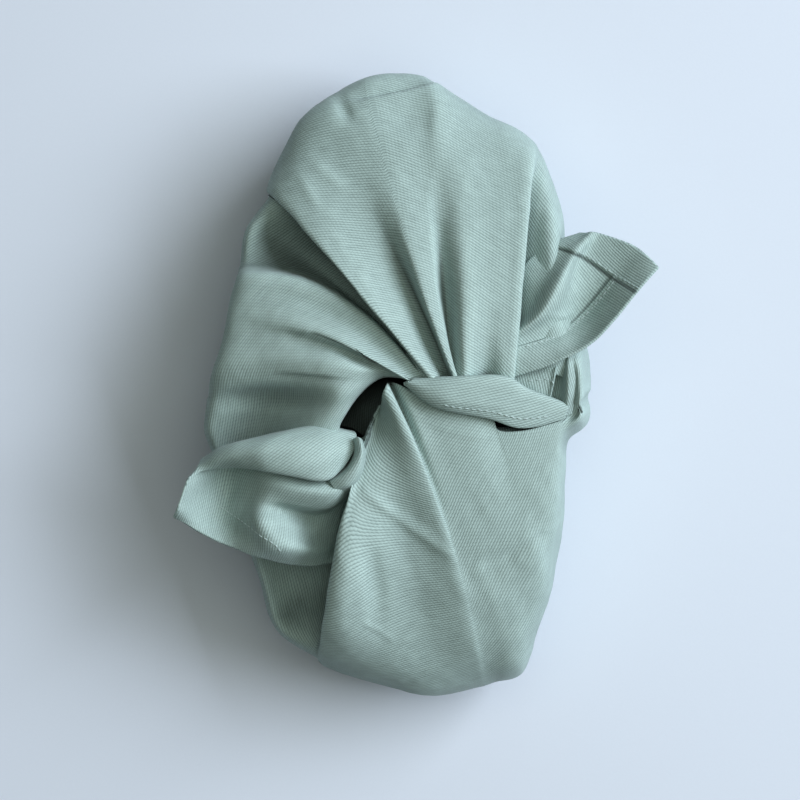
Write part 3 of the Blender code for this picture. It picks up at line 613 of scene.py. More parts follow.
def weave_map(points, normals, table, closed, rounds, carry_from=0, cuts=()):
    """Coordinates across and along the twill lines, in mm of cloth, at each point of a grid.

    The lines' direction is read from the table up to row carry_from and kept at the same angle to the grid
    from there on. The map is then bent, in turns, towards one that neither stretches nor squeezes the cloth.
    It may part after each column in cuts, where one layer lies over the next. The second result holds the
    values at the next column, as the map runs on from each column.
    """
    first_along, trust = weave_aim(points, normals, table, carry_from)
    first_across = np.cross(normals, first_along)
    fitted = slope_fit(points, rounds, cuts)
    down, beside = np.gradient(points, axis=0), side_steps(points, closed)
    long_long, long_wide = (down * down).sum(axis=2), (down * beside).sum(axis=2)
    wide_wide = (beside * beside).sum(axis=2)
    spread = np.maximum(long_long * wide_wide - long_wide ** 2, 1e-4)
    u = v = None
    across, along = first_across, first_along
    for turn in range(MAP_TURNS):
        u, v = fitted(across, u), fitted(along, v)
        slopes = []
        for f in (u, v):
            f_down, f_side = np.gradient(f, axis=0), np.gradient(f, axis=1)
            slope = ((wide_wide * f_down - long_wide * f_side) / spread)[..., None] * down
            slopes.append(slope + ((long_long * f_side - long_wide * f_down) / spread)[..., None] * beside)
        turned = (slopes[0] * first_along - slopes[1] * first_across).sum(axis=2)
        kept = (slopes[0] * first_across + slopes[1] * first_along).sum(axis=2) + 2 * trust
        angle = np.arctan2(turned, kept)[..., None]
        if turn < MAP_TURNS - 1:
            across = np.cos(angle) * first_across + np.sin(angle) * first_along
            along = np.cos(angle) * first_along - np.sin(angle) * first_across
    beyond = []
    for f, slope in ((u, across), (v, along)):
        run_on = np.roll(f, -1, axis=1)
        for c in list(cuts) + [f.shape[1] - 1]:
            step = points[:, (c + 1) % f.shape[1]] - points[:, c]
            run_on[:, c] = f[:, c] + (slope[:, c] * step).sum(axis=1)
        beyond.append(run_on)
    return np.stack([u, v], axis=2), np.stack(beyond, axis=2)


def ripple(points, seed, longest, shortest, waves):
    """Soft uneven noise from -1 to 1, a sum of waves of random heading."""
    chance = np.random.default_rng(seed)
    total = np.zeros(points.shape[:-1])
    for _ in range(waves):
        heading = chance.normal(size=3)
        heading *= 2 * math.pi / np.linalg.norm(heading) / chance.uniform(shortest, longest)
        total += np.sin(points @ heading + chance.uniform(0, 2 * math.pi))
    return total / math.sqrt(waves)


def crease_rise(points, table):
    """How far the creases of a table lift each point."""
    plan = sighted(points)
    total = np.zeros(points.shape[:-1])
    for row in table:
        crease = dict(zip(CREASE_COLUMNS, row))
        ends = (np.array([crease[f"x_{end}"], crease[f"y_{end}"]]) for end in "abc")
        line = through_three(*ends, np.linspace(0, 1, CREASE_POINTS))
        reach = CREASE_REACH * max(crease["left"], crease["right"])
        near = ((plan > line.min(axis=0) - reach) & (plan < line.max(axis=0) + reach)).all(axis=-1)
        if not near.any():
            continue
        spot = plan[near]
        start, step = line[:-1], np.diff(line, axis=0)
        share = ((spot[:, None] - start) * step).sum(axis=2) / (step ** 2).sum(axis=1)
        share = np.clip(share, 0, 1)
        off = spot[:, None] - (start + share[..., None] * step)
        far = (off ** 2).sum(axis=2)
        best = far.argmin(axis=1)
        pick = np.arange(len(spot))
        ahead, gap = step[best], off[pick, best]
        on_left = ahead[:, 0] * gap[:, 1] - ahead[:, 1] * gap[:, 0] > 0
        width = np.where(on_left, crease["left"], crease["right"])
        s = (best + share[pick, best]) / len(step)
        rise = through_three(crease["rise_a"], crease["rise_b"], crease["rise_c"], s)
        total[near] += rise * np.exp(-far[pick, best] / width ** 2)
    return total


def halfway(points, reach, closed):
    """Halfway between the points that lie a few columns to either side."""
    if closed:
        return (np.roll(points, reach, axis=1) + np.roll(points, -reach, axis=1)) / 2
    padded = np.pad(points, ((0, 0), (reach, reach), (0, 0)), mode="edge")
    return (padded[:, :-2 * reach] + padded[:, 2 * reach:]) / 2


def edge_wear(points, normals, closed):
    """How far each point stands out of the cloth around it, from 0 to 1."""
    out = ((points - halfway(points, WEAR_REACH, closed)) * normals).sum(axis=2)
    return np.clip(out / WEAR_HEIGHT, 0, 1)


def painted_hollow_shade(points, normals):
    """Painted shade for how deep each point of a closed grid lies between the folds to its sides, from 0 to
    1.
    """
    deep = ((halfway(points, PAINTED_SHADE_REACH, True) - points) * normals).sum(axis=2)
    return np.clip(deep / PAINTED_SHADE_DEPTH, 0, 1) ** PAINTED_SHADE_POWER


def cloth_area(points, closed):
    """The area of a grid of points, in square metres."""
    if closed:
        points = np.concatenate([points, points[:, :1]], axis=1)
    a = points[1:, :-1] - points[:-1, :-1]
    b = points[:-1, 1:] - points[:-1, :-1]
    return np.linalg.norm(np.cross(a, b), axis=2).sum() * MM * MM


def new_object(name, data):
    """A new object in the scene."""
    obj = bpy.data.objects.new(name, data)
    bpy.context.scene.collection.objects.link(obj)
    return obj


def cloth_object(name, points, faces, corner_map, wear, hollow, material):
    """A smooth piece of cloth with its weave map, wear and painted shade of hollows, and a material."""
    mesh = bpy.data.meshes.new(name)
    mesh.from_pydata((points * MM).tolist(), [], faces)
    weave = mesh.uv_layers.new(name="weave")
    weave.data.foreach_set("uv", corner_map.astype(np.float32).ravel())
    for label, values in (("wear", wear), ("hollow", hollow)):
        attribute = mesh.attributes.new(label, "FLOAT", "POINT")
        attribute.data.foreach_set("value", values.astype(np.float32))
    mesh.shade_smooth()
    mesh.materials.append(material)
    return new_object(name, mesh)


def of_the_bag(obj):
    """Sets a piece on the bag's body, in place of its CAD node."""
    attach(obj, "root")
    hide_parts("bag_cloth")


def wrinkled(points, shape):
    """The bag's surface with its soft wrinkles and small creases."""
    crown_share = np.clip((np.arange(len(points)) - shape.lip_rows) / shape.crown_rows, 0, 1)[:, None]
    fade = np.clip(points[..., 2] / WRINKLE_END, 0, 1)
    soft = ripple(points, BODY_SOFT_SEED, *BODY_SOFT_WAVES) * shape.wrinkle * fade
    fine = ripple(points, BODY_FINE_SEED, *BODY_FINE_WAVES) * shape.wrinkle * BODY_FINE_SHARE * fade
    rise = (soft + fine + crease_rise(points, BODY_CREASES))[..., None]
    start = np.minimum(crown_share / WRINKLE_START, 1)[..., None]
    points = points + grid_normals(points, True) * rise * start
    points[..., 2] = np.maximum(points[..., 2], 0.0)
    return points


def ring_faces(rows, columns, start):
    """The faces of a closed grid of points that starts at a given number."""
    r, c = np.meshgrid(np.arange(rows - 1), np.arange(columns), indexing="ij")
    d = (c + 1) % columns
    quads = np.stack([r * columns + c, (r + 1) * columns + c, (r + 1) * columns + d, r * columns + d], axis=2)
    return quads.reshape(-1, 4) + start


def ring_map(own, beyond):
    """The weave map at the corners of a closed grid's faces."""
    return np.stack([own[:-1], own[1:], beyond[1:], beyond[:-1]], axis=2).reshape(-1, 4, 2)


def build_body(shape, cloth, material):
    """The body as an outer and an inner face, joined at the slit and each closed at the base."""
    points, starts = bag_surface(shape)
    points = wrinkled(points, shape)
    normals = grid_normals(points, True)
    names = [row[0] for row in FOLDS]
    cuts = [starts[names.index(name)] for name in LAYER_ENDS]
    carry_from = shape.lip_rows + int(shape.crown_rows * MAP_CARRY)
    own, beyond = weave_map(points, normals, BODY_WEAVE, True, BODY_ROUNDS, carry_from, cuts)

    inner = (points - normals * cloth.thickness)[::2, ::2]
    inner[-1, :, 2] = cloth.thickness
    centre = points[-1].mean(axis=0) * (1, 1, 0)
    every = np.concatenate([points.reshape(-1, 3), inner.reshape(-1, 3),
                            [centre, centre + (0, 0, cloth.thickness)]])
    wear = np.zeros(len(every))
    wear[:points[..., 0].size] = edge_wear(points, normals, True).ravel()
    # Painted shade: by depth in the hollows of the outer face, full over the inner face, none at the outer
    # base's centre.
    hollow = np.ones(len(every))
    hollow[:points[..., 0].size] = painted_hollow_shade(points, normals).ravel()
    hollow[-2] = 0.0

    (rows, columns), (inner_rows, inner_columns) = points.shape[:2], inner.shape[:2]
    start, pole = rows * columns, len(every) - 2
    last, inner_last = start - columns, pole - inner_columns
    faces = ring_faces(rows, columns, 0).tolist()
    faces += ring_faces(inner_rows, inner_columns, start)[:, ::-1].tolist()
    corners = []
    for c in range(inner_columns):
        faces.append([2 * c, 2 * c + 1, (2 * c + 2) % columns, start + (c + 1) % inner_columns, start + c])
        near, far = own[0, 2 * c], beyond[0, 2 * c + 1]
        corners += [near, own[0, 2 * c + 1], far, far, near]
    for c in range(columns):
        faces.append([last + c, pole, last + (c + 1) % columns])
        corners += [own[-1, c], own[-1, c], beyond[-1, c]]
    for c in range(inner_columns):
        faces.append([inner_last + c, inner_last + (c + 1) % inner_columns, pole + 1])
        corners += [own[-1, 2 * c], beyond[-1, 2 * c + 1], own[-1, 2 * c]]
    inner_map = ring_map(own[::2, ::2], beyond[::2, 1::2])[:, ::-1]
    corner_map = np.concatenate([ring_map(own, beyond).reshape(-1, 2), inner_map.reshape(-1, 2), corners])
    obj = cloth_object("bag_body_cloth", every, faces, corner_map, wear, hollow, material)
    of_the_bag(obj)


def sheet_surface(sheet):
    """Points (along, across) of a cloth that runs through the table's lines."""
    table = columns_of(sheet.lines, SHEET_COLUMNS)
    stations = [np.stack([table[f"{axis}_{station}"] for axis in "xyz"], axis=1).astype(float)
                for station in STATIONS]
    run = smooth_run(np.stack(stations, axis=1), [sheet.along] * (len(stations) - 1), False)
    return smooth_run(placed(run).transpose(1, 0, 2), [sheet.across] * (len(sheet.lines) - 1), False)


def stations_and_lines(sheet):
    """The station of each row and the line of each column of a sheet's grid, as a column and a row."""
    stations = np.arange((len(STATIONS) - 1) * sheet.along + 1) / sheet.along
    lines = np.arange((len(sheet.lines) - 1) * sheet.across + 1) / sheet.across
    return stations[:, None], lines[None, :]


def hem_rise(sheet):
    """The extra height of a turned hem: a step up from where the hem's inner edge runs."""
    stations, lines = stations_and_lines(sheet)
    total = np.zeros((stations.size, lines.size))
    for from_station, from_line, height in sheet.hems:
        past = np.maximum(stations - from_station, lines - from_line)
        total = np.maximum(total, height * np.clip(past / HEM_STEP, 0, 1))
    return total


def hem_shade(sheet):
    """A mask of painted shadow in the narrow gap beside each turned hem's inner edge."""
    stations, lines = stations_and_lines(sheet)
    end = min((from_station for from_station, _, _ in sheet.hems), default=NEVER)
    total = np.zeros((stations.size, lines.size))
    for from_station, from_line, _ in sheet.hems:
        dark, half = HEM_END_SHADOW
        on_end = np.clip(dark - np.abs((stations - from_station) * sheet.along + 0.5) / half, 0, 1)
        dark, half = HEM_SIDE_SHADOW
        on_side = np.clip(dark - np.abs((lines - from_line) * sheet.across + 0.5) / half, 0, 1)
        total = np.maximum(total, np.maximum(on_end, on_side * (stations < end)))
    return total


def sheet_face(sheet):
    """The upper face of a sheet as a grid, its normals, and whether the grid runs round the other way."""
    upper = sheet_surface(sheet)
    normals = grid_normals(upper, False)
    flipped = normals[..., 2].mean() < 0
    if flipped:
        normals = -normals
    bumps = ripple(upper, sheet.seed, *SHEET_WAVES) * sheet.wrinkle + crease_rise(upper, sheet.creases)
    return upper + normals * (bumps + hem_rise(sheet))[..., None], normals, flipped


def build_sheet(sheet, material):
    """One thin sheet: an upper face, a lower face and a rounded edge between them."""
    upper, _, flipped = sheet_face(sheet)
    shade = hem_shade(sheet)
    if flipped:
        upper, shade = upper[:, ::-1], shade[:, ::-1]
    normals = grid_normals(upper, False)
    weave, _ = weave_map(upper, normals, sheet.weave, False, SHEET_ROUNDS)
    rows, columns = upper.shape[:2]
    start = rows * columns
    grid = np.arange(start).reshape(rows, columns)
    rim = np.concatenate([grid[0], grid[1:, -1], grid[-1, -2::-1], grid[-2:0:-1, 0]])
    flat_upper, flat_lower = upper.reshape(-1, 3), (upper - normals * sheet.thickness).reshape(-1, 3)
    edge = flat_upper[rim]
    out = unit(np.cross(np.roll(edge, -1, axis=0) - np.roll(edge, 1, axis=0), normals.reshape(-1, 3)[rim]))
    if (out * (upper[rows // 2, columns // 2] - edge)).sum() > 0:
        out = -out
    middle = (edge + flat_lower[rim]) / 2 + out * sheet.thickness * EDGE_ROUND
    between = 2 * start + np.arange(len(rim))
    rim_next, between_next = np.roll(rim, -1), np.roll(between, -1)
    quads = np.stack([grid[:-1, :-1], grid[1:, :-1], grid[1:, 1:], grid[:-1, 1:]], axis=2).reshape(-1, 4)
    faces = np.concatenate([
        quads,
        quads[:, ::-1] + start,
        np.stack([rim, rim_next, between_next, between], axis=1),
        np.stack([between, between_next, rim_next + start, rim + start], axis=1)])
    flat_map = weave.reshape(-1, 2)
    point_map = np.concatenate([flat_map, flat_map, flat_map[rim]])
    wear = np.concatenate([edge_wear(upper, normals, False).ravel(), np.zeros(start), np.ones(len(rim))])
    # Painted shade: in the gap beside each hem, and over all of a sheet that lies deep in the folds.
    hollow = np.concatenate([np.maximum(shade, sheet.sunk).ravel(), np.full(start + len(rim), sheet.sunk)])
    obj = cloth_object(sheet.name, np.concatenate([flat_upper, flat_lower, middle]), faces.tolist(),
                       point_map[faces.ravel()], wear, hollow, material)
    of_the_bag(obj)
    length = np.linalg.norm(np.diff(upper[rows // 2], axis=0), axis=1).sum() * MM
    cloth_area(upper, False) / length


def stitch_path(name, from_station, from_line, to_station, to_line):
    """Points of a row of stitches that lies on a sheet, from one place on it to another."""
    sheet = next(sheet for sheet in SHEETS if sheet.name == name)
    upper, normals, _ = sheet_face(sheet)
    upper = upper + normals * STITCH_LIFT
    share = np.linspace(0, 1, STITCH_PATH_POINTS)
    last_row, last_column = (size - 1.001 for size in upper.shape[:2])
    r = np.clip((from_station + (to_station - from_station) * share) * sheet.along, 0, last_row)
    c = np.clip((from_line + (to_line - from_line) * share) * sheet.across, 0, last_column)
    i, j = r.astype(int), c.astype(int)
    p, q = (r - i)[:, None], (c - j)[:, None]
    return ((upper[i, j] * (1 - p) + upper[i + 1, j] * p) * (1 - q)
            + (upper[i, j + 1] * (1 - p) + upper[i + 1, j + 1] * p) * q)


def fill(tree, node, values):
    """Sets a node's inputs to values, or links them where the value is another node's output."""
    for name, value in values.items():
        if isinstance(value, bpy.types.NodeSocket):
            tree.links.new(value, node.inputs[name])
        else:
            node.inputs[name].default_value = value
    return node


def add_node(tree, kind, values=None, **settings):
    """A new node with its settings and inputs."""
    node = tree.nodes.new(kind)
    for name, value in settings.items():
        setattr(node, name, value)
    return fill(tree, node, values or {})


def worked(tree, value, *steps):
    """The value after a run of math steps, each an operation and the value it works with."""
    for operation, *other in steps:
        node = add_node(tree, "ShaderNodeMath", dict(enumerate([value, *other])), operation=operation)
        value = node.outputs[0]
    return value


def new_group(name, kind, inputs, outputs):
    """An empty node group, what its input node gives, and its output node."""
    tree = bpy.data.node_groups.new(name, kind)
    for in_out, sockets in (("INPUT", inputs), ("OUTPUT", outputs)):
        for label, socket, *default in sockets:
            made = tree.interface.new_socket(name=label, in_out=in_out, socket_type="NodeSocket" + socket)
            if default:
                made.default_value = default[0]
    return tree, tree.nodes.new("NodeGroupInput").outputs, tree.nodes.new("NodeGroupOutput")


def stitch_tree():
    """Geometry nodes that set a thread stitch at even steps along each edge path."""
    tree, given, result = new_group(
        "stitch_rows", "GeometryNodeTree",
        [("Geometry", "Geometry"), ("Spacing", "Float", 0.0027), ("Length", "Float", 0.0019),
         ("Width", "Float", 0.0005), ("Unevenness", "Float", 0.12), ("Material", "Material")],
        [("Geometry", "Geometry")])
    path = add_node(tree, "GeometryNodeMeshToCurve", {"Mesh": given["Geometry"]})
    places = add_node(tree, "GeometryNodeCurveToPoints",
                      {"Curve": path.outputs["Curve"], "Length": given["Spacing"]}, mode="LENGTH")
    ball = add_node(tree, "GeometryNodeMeshUVSphere", {"Segments": 10, "Rings": 8, "Radius": 0.5})
    size = add_node(tree, "ShaderNodeCombineXYZ", {0: given["Width"], 1: given["Width"], 2: given["Length"]})
    stitch = add_node(tree, "GeometryNodeTransform",
                      {"Geometry": ball.outputs["Mesh"], "Scale": size.outputs[0]})
    chance = add_node(tree, "FunctionNodeRandomValue",
                      {2: worked(tree, 1.0, ("SUBTRACT", given["Unevenness"])),
                       3: worked(tree, 1.0, ("ADD", given["Unevenness"])), "Seed": STITCH_SEED},
                      data_type="FLOAT")
    sewn = add_node(tree, "GeometryNodeInstanceOnPoints",
                    {"Points": places.outputs["Points"], "Rotation": places.outputs["Rotation"],
                     "Instance": stitch.outputs["Geometry"], "Scale": chance.outputs[1]})
    whole = add_node(tree, "GeometryNodeRealizeInstances", {"Geometry": sewn.outputs["Instances"]})
    smooth = add_node(tree, "GeometryNodeSetShadeSmooth", {"Geometry": whole.outputs["Geometry"]})
    dyed = add_node(tree, "GeometryNodeSetMaterial",
                    {"Geometry": smooth.outputs["Geometry"], "Material": given["Material"]})
    fill(tree, result, {"Geometry": dyed.outputs["Geometry"]})
    return tree


def build_stitches(thread):
    """All rows of stitches as one plain mesh."""
    points, edges = [], []
    for run in STITCH_RUNS:
        path = stitch_path(*run)
        edges += [(len(points) + i, len(points) + i + 1) for i in range(len(path) - 1)]
        points += (path * MM).tolist()
    mesh = bpy.data.meshes.new("stitch_paths")
    mesh.from_pydata(points, edges, [])
    paths = new_object("stitch_paths", mesh)
    modifier = paths.modifiers.new("stitches", "NODES")
    modifier.node_group = stitch_tree()
    values = {"Spacing": thread.spacing * MM, "Length": thread.length * MM, "Width": thread.width * MM,
              "Unevenness": thread.unevenness, "Material": thread_material(thread)}
    for item in modifier.node_group.interface.items_tree:
        if item.in_out == "INPUT" and item.name in values:
            modifier[item.identifier] = values[item.name]
    plain = bpy.data.meshes.new_from_object(paths.evaluated_get(bpy.context.evaluated_depsgraph_get()))
    plain.name = "stitches"
    stitches = new_object("stitches", plain)
    bpy.data.objects.remove(paths)
    of_the_bag(stitches)


def weave_group():
    """Twill from the weave map: its height, the dark gaps between its lines, and its slubs."""
    tree, given, result = new_group(
        "twill_weave", "ShaderNodeTree",
        [("Map", "Vector"), ("Pitch", "Float", 1.0), ("Unevenness", "Float", 0.3)],
        [("Height", "Float"), ("Gaps", "Float"), ("Slubs", "Float")])
    split = add_node(tree, "ShaderNodeSeparateXYZ", {0: given["Map"]})
    across, along = split.outputs["X"], split.outputs["Y"]
    wobble = add_node(tree, "ShaderNodeTexNoise", {"Vector": given["Map"], "Scale": 0.45, "Detail": 2.0})
    shift = worked(tree, wobble.outputs["Fac"], ("SUBTRACT", 0.5), ("MULTIPLY", given["Unevenness"]))
    line = worked(tree, across, ("DIVIDE", given["Pitch"]), ("ADD", shift))
    rib = worked(tree, line, ("MULTIPLY", 2 * math.pi), ("COSINE",), ("MULTIPLY", 0.5), ("ADD", 0.5))
    stagger = worked(tree, line, ("ROUND",), ("MULTIPLY", FLOAT_SHIFT))
    floats = worked(tree, along, ("DIVIDE", given["Pitch"]), ("MULTIPLY", FLOAT_RATE), ("ADD", stagger),
                    ("MULTIPLY", 2 * math.pi), ("COSINE",), ("MULTIPLY", FLOAT_HEIGHT))
    height = worked(tree, rib, ("ADD", floats))
    gaps = worked(tree, 1.0, ("SUBTRACT", height), ("POWER", 2.0))
    stretch = add_node(tree, "ShaderNodeCombineXYZ",
                       {0: worked(tree, across, ("MULTIPLY", SLUB_RATES[0])),
                        1: worked(tree, along, ("MULTIPLY", SLUB_RATES[1]))})
    slubs = add_node(tree, "ShaderNodeTexNoise", {"Vector": stretch.outputs[0], "Scale": 1.0, "Detail": 3.0})
    fill(tree, result, {"Height": height, "Gaps": gaps, "Slubs": slubs.outputs["Fac"]})
    return tree


def piece_noise(tree, scale, detail):
    """Noise on a piece's own coordinates."""
    place = add_node(tree, "ShaderNodeTexCoord")
    noise = add_node(tree, "ShaderNodeTexNoise",
                     {"Vector": place.outputs["Object"], "Scale": scale, "Detail": detail})
    return noise.outputs["Fac"]


def fade_group():
    """Colour of worn cloth: slow patches, thread streaks, dark gaps, paler worn edges, and painted shade in
    hollows.
    """
    tree, given, result = new_group(
        "cloth_colour", "ShaderNodeTree",
        [("Colour", "Color", (0.3, 0.4, 0.3, 1.0)), ("Gaps", "Float", 0.0), ("Slubs", "Float", 0.5),
         ("Wear", "Float", 0.0), ("Hollow", "Float", 0.0), ("Gap Depth", "Float", 0.3),
         ("Fade", "Float", 0.1)],
        [("Colour", "Color"), ("Grain", "Float")])
    grain = piece_noise(tree, scale=1600.0, detail=2.0)
    patches = piece_noise(tree, scale=28.0, detail=3.0)
    slow = worked(tree, patches, ("SUBTRACT", 0.5), ("MULTIPLY", given["Fade"]))
    streak = worked(tree, given["Slubs"], ("SUBTRACT", 0.5), ("MULTIPLY", STREAK_SHARE))
    speck = worked(tree, grain, ("SUBTRACT", 0.5), ("MULTIPLY", SPECK_SHARE))
    worn = worked(tree, given["Wear"], ("MULTIPLY", WORN_SHARE))
    dark = worked(tree, given["Gaps"], ("MULTIPLY", given["Gap Depth"]))
    # Painted shade darkens the colour in hollows, inside the bag and on sheets deep in the folds.
    shade = worked(tree, given["Hollow"], ("MULTIPLY", -PAINTED_SHADE_SHARE), ("ADD", 1.0))
    level = worked(tree, 1.0, ("ADD", slow), ("ADD", streak), ("ADD", speck), ("ADD", worn),
                   ("SUBTRACT", dark), ("MULTIPLY", shade))
    tint = add_node(tree, "ShaderNodeVectorMath", {0: given["Colour"], "Scale": level}, operation="SCALE")
    fill(tree, result, {"Colour": tint.outputs[0], "Grain": grain})
    return tree


def new_material(name):
    """A new material, its tree and its shader."""
    material = bpy.data.materials.new(name)
    material.use_nodes = True
    return material, material.node_tree, material.node_tree.nodes["Principled BSDF"]


def two_tones(tree, noise, colour, dark):
    """A colour that noise mixes with a darker tone of it."""
    darker = tuple(c * dark for c in colour)
    tone = add_node(tree, "ShaderNodeMix", {"Factor": noise, "A": darker + (1.0,), "B": (*colour, 1.0)},
                    data_type="RGBA")
    return tone.outputs["Result"]


def bumped(tree, height, strength, distance):
    """The normal of a surface with a bump map."""
    bump = add_node(tree, "ShaderNodeBump", {"Height": height, "Strength": strength, "Distance": distance})
    return bump.outputs[0]


def twill_material(cloth):
    """The bag's cotton twill, made once for all of its pieces."""
    if "bento_twill" in bpy.data.materials:
        return bpy.data.materials["bento_twill"]
    material, tree, shader = new_material("bento_twill")
    mapped = add_node(tree, "ShaderNodeUVMap", uv_map="weave")
    wear = add_node(tree, "ShaderNodeAttribute", attribute_name="wear")
    # The hollow attribute carries the painted shade of hollows and deep folds.
    hollow = add_node(tree, "ShaderNodeAttribute", attribute_name="hollow")
    weave = add_node(tree, "ShaderNodeGroup", {"Map": mapped.outputs[0], "Pitch": cloth.twill_pitch},
                     node_tree=weave_group())
    colour = add_node(tree, "ShaderNodeGroup",
                      {"Colour": (*cloth.colour, 1.0), "Gap Depth": cloth.gap_depth,
                       "Gaps": weave.outputs["Gaps"], "Slubs": weave.outputs["Slubs"],
                       "Wear": wear.outputs["Fac"], "Hollow": hollow.outputs["Fac"]},
                      node_tree=fade_group())
    rough = worked(tree, weave.outputs["Gaps"], ("MULTIPLY", GAP_ROUGHNESS), ("ADD", cloth.roughness))
    fill(tree, shader, {"Base Color": colour.outputs["Colour"], "Roughness": rough, "Sheen Weight": 0.12,
                        "Sheen Roughness": 0.4, "Specular IOR Level": 0.2,
                        "Normal": bumped(tree, weave.outputs["Height"], cloth.weave_bump, TWILL_RELIEF)})
    return material


def thread_material(thread):
    """The sewing thread."""
    material, tree, shader = new_material("bento_thread")
    fibres = piece_noise(tree, scale=2600.0, detail=2.0)
    rough = worked(tree, fibres, ("MULTIPLY", THREAD_ROUGHNESS[1]), ("ADD", THREAD_ROUGHNESS[0]))
    fill(tree, shader, {"Base Color": two_tones(tree, fibres, thread.colour, dark=0.75), "Roughness": rough,
                        "Sheen Weight": 0.15, "Specular IOR Level": 0.3,
                        "Normal": bumped(tree, fibres, strength=0.4, distance=0.0001)})
    return material


def build_table(stage):
    """The table on which the bag lies."""
    mesh = bpy.data.meshes.new("table_top")
    corners = [(x * TABLE_HALF, y * TABLE_HALF, 0) for x, y in ((-1, -1), (1, -1), (1, 1), (-1, 1))]
    mesh.from_pydata(corners, [], [(0, 1, 2, 3)])
    material, tree, shader = new_material("table_top")
    noise = piece_noise(tree, scale=900.0, detail=4.0)
    fill(tree, shader, {"Base Color": two_tones(tree, noise, stage.floor_colour, dark=0.97),
                        "Roughness": 0.9, "Specular IOR Level": 0.15,
                        "Normal": bumped(tree, noise, strength=0.05, distance=0.0002)})
    mesh.materials.append(material)
    table = new_object("table_top", mesh)


def build_lamp(name, place, width, depth, power, colour):
    """A soft rectangular light that points at the bag."""
    lamp = bpy.data.lights.new(name, "AREA")
    lamp.shape = "RECTANGLE"
    lamp.size, lamp.size_y = width, depth
    lamp.energy = power
    lamp.color = colour
    holder = new_object(name, lamp)
    holder.location = place
    holder.rotation_euler = (-holder.location).to_track_quat("-Z", "Y").to_euler()


def build_sky(colour, strength):
    """The soft light from all round."""
    world = bpy.data.worlds.new("sky")
    world.use_nodes = True
    back = world.node_tree.nodes["Background"]
    fill(world.node_tree, back, {"Color": (*colour, 1.0), "Strength": strength})
    bpy.context.scene.world = world


def build_view():
    """The camera straight above the bag, and how its picture is shown."""
    scene = bpy.context.scene
    view = bpy.data.cameras.new("view_from_above")
    view.sensor_width = SENSOR_WIDTH
    view.lens = SENSOR_WIDTH * (EYE_HEIGHT - KNOT_HEIGHT) / PHOTO_WIDTH
    camera = new_object("view_from_above", view)
    camera.location = (-BAG_CENTRE[0] * MM, -BAG_CENTRE[1] * MM, EYE_HEIGHT * MM)
    scene.camera = camera
    scene.view_settings.view_transform = "Standard"
    scene.view_settings.look = "Medium High Contrast"


def number_value(name, description, default, **limits):
    """A number that a user may change."""
    return bpy.props.FloatProperty(name=name, description=description, default=default, **limits)


def share_value(name, description, default, top=1.0):
    """A share from none to all that a user may change."""
    return number_value(name, description, default, min=0, max=top, subtype="FACTOR")


def count_value(name, description, default, least):
    """A whole number that a user may change."""
    return bpy.props.IntProperty(name=name, description=description, default=default, min=least)


def colour_value(name, description, default):
    """A colour that a user may change."""
    return bpy.props.FloatVectorProperty(
        name=name, description=description, default=default, min=0, max=1, subtype="COLOR")


def place_value(name, description, default):
    """A place that a user may change."""
    return bpy.props.FloatVectorProperty(
        name=name, description=description, default=default, subtype="TRANSLATION", unit="LENGTH")


class BentoCloth(bpy.types.PropertyGroup):
    """The bag's cloth"""
    thickness: number_value("Thickness", "Thickness of the bag's cloth, in mm", 0.9, min=0.3, max=2.0)
    twill_pitch: number_value("Twill pitch", "Distance between the twill lines, in mm", 1.0, min=0.4, max=3.0)
    colour: colour_value("Colour", "Colour of the cloth", (0.40, 0.505, 0.485))
    gap_depth: share_value("Gap depth", "How dark the gaps between the twill lines are", 0.34)
    roughness: share_value("Roughness", "Roughness of the cloth", 0.82)
    weave_bump: share_value("Weave bump", "How much the twill lines stand out", 0.35)


class BentoShape(bpy.types.PropertyGroup):
    """The body's rows and columns of faces, and its wrinkles"""
    lip_rows: count_value("Lip rows", "Rows of faces where the cloth turns into the slit", 6, 2)
    crown_rows: count_value("Crown rows", "Rows of faces from the slit to the outline", 116, 12)
    side_rows: count_value("Side rows", "Rows of faces from the outline to the base", 26, 4)
    column_step: number_value("Column step", "Widest step between columns, in mm", 1.7, min=0.8)
    wrinkle: number_value("Wrinkles", "Height of the soft wrinkles, in mm", 0.3, min=0, max=2)


class BentoThread(bpy.types.PropertyGroup):
    """The sewing thread and its stitches"""
    spacing: number_value("Stitch spacing", "From one stitch to the next, in mm", 2.6, min=1.0)
    length: number_value("Stitch length", "Length of the thread that shows, in mm", 1.9, min=0.4)
    width: number_value("Thread width", "Thickness of the thread, in mm", 0.5, min=0.1)
    unevenness: share_value("Unevenness", "How much the stitches differ in size", 0.12, 0.5)
    colour: colour_value("Thread colour", "Colour of the thread", (0.50, 0.60, 0.59))


class BentoStage(bpy.types.PropertyGroup):
    """The lights and the table"""
    light_power: number_value(
        "Window power", "Power of the soft window light", 95.0, min=0, subtype="POWER")
    light_place: place_value("Window place", "Where the window light stands", (2.151, 0.783, 1.83))
    light_size: number_value("Window size", "Width of the window light", 2.7, min=0.05, unit="LENGTH")
    fill_power: number_value(
        "Overhead power", "Power of the soft light from above", 6.5, min=0, subtype="POWER")
    fill_place: place_value("Overhead place", "Where the light from above hangs", (0.1, 0.05, 1.3))
    fill_size: number_value("Overhead size", "Width of the light from above", 1.4, min=0.05, unit="LENGTH")
    sky: colour_value("Sky colour", "Colour of the soft light from all round", (0.95, 1.0, 0.91))
    sky_strength: number_value("Sky strength", "Strength of the light from all round", 0.05, min=0)
    floor_colour: colour_value("Floor colour", "Colour of the table", (0.65, 0.69, 0.765))


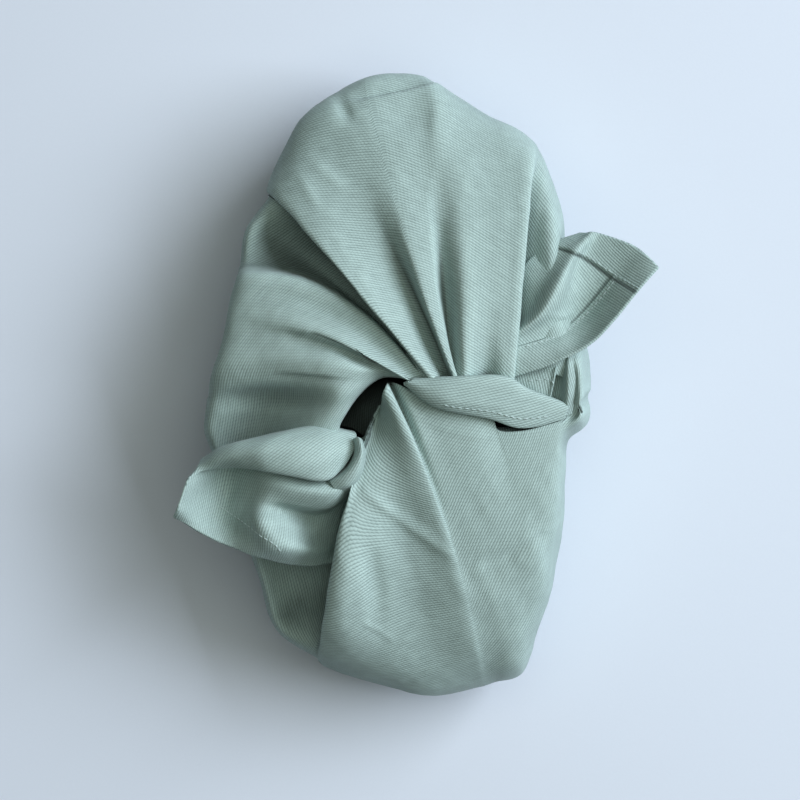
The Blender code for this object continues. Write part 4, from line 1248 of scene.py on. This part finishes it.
class BentoBody(bpy.types.Operator):
    """Builds the bag's body, the shell of folded and gathered cloth around the filling"""
    bl_idname = "bento.body"
    bl_label = "Bag body"

    def execute(self, context):
        scene = context.scene
        build_body(scene.bento_shape, scene.bento_cloth, twill_material(scene.bento_cloth))
        return {"FINISHED"}


class BentoSheets(bpy.types.Operator):
    """Builds the knot's band, the two corners and the folds inside the openings"""
    bl_idname = "bento.sheets"
    bl_label = "Knot band and corners"

    def execute(self, context):
        material = twill_material(context.scene.bento_cloth)
        for sheet in SHEETS:
            build_sheet(sheet, material)
        return {"FINISHED"}


class BentoStitches(bpy.types.Operator):
    """Sews the rows of stitches along the hems"""
    bl_idname = "bento.stitches"
    bl_label = "Hem stitches"

    def execute(self, context):
        build_stitches(context.scene.bento_thread)
        return {"FINISHED"}


class BentoStageSet(bpy.types.Operator):
    """Builds the table, the window light, the soft sky and the camera"""
    bl_idname = "bento.stage"
    bl_label = "Table, light and camera"

    def execute(self, context):
        stage = context.scene.bento_stage
        build_table(stage)
        build_lamp("window", stage.light_place, stage.light_size, stage.light_size * WINDOW_SHAPE,
                   stage.light_power, WINDOW_COLOUR)
        build_lamp("overhead", stage.fill_place, stage.fill_size, stage.fill_size,
                   stage.fill_power, stage.sky)
        build_sky(stage.sky, stage.sky_strength)
        build_view()
        return {"FINISHED"}


class BentoPanel(bpy.types.Panel):
    """Sizes, colours and build steps of the bento bag"""
    bl_idname = "VIEW3D_PT_bento_bag"
    bl_label = "Bento bag"
    bl_space_type = "VIEW_3D"
    bl_region_type = "UI"
    bl_category = "Bento bag"

    def draw(self, context):
        for label, group in (("Cloth", "bento_cloth"), ("Shape", "bento_shape"),
                             ("Thread", "bento_thread"), ("Stage", "bento_stage")):
            box = self.layout.box()
            box.label(text=label)
            values = getattr(context.scene, group)
            for name in values.__annotations__:
                box.prop(values, name)
        for step in STEPS:
            self.layout.operator(step.bl_idname)


STEPS = (BentoBody, BentoSheets, BentoStitches, BentoStageSet)
GROUPS = (("bento_cloth", BentoCloth), ("bento_shape", BentoShape), ("bento_thread", BentoThread),
          ("bento_stage", BentoStage))


def register():
    for name, group in GROUPS:
        bpy.utils.register_class(group)
        setattr(bpy.types.Scene, name, bpy.props.PointerProperty(type=group))
    for step in STEPS:
        bpy.utils.register_class(step)
    bpy.utils.register_class(BentoPanel)


def unregister():
    bpy.utils.unregister_class(BentoPanel)
    for step in reversed(STEPS):
        bpy.utils.unregister_class(step)
    for name, group in reversed(GROUPS):
        delattr(bpy.types.Scene, name)
        bpy.utils.unregister_class(group)


def main():
    register()
    bpy.ops.bento.body()
    bpy.ops.bento.sheets()
    bpy.ops.bento.stitches()
    bpy.ops.bento.stage()


if __name__ == "__main__":
    main()
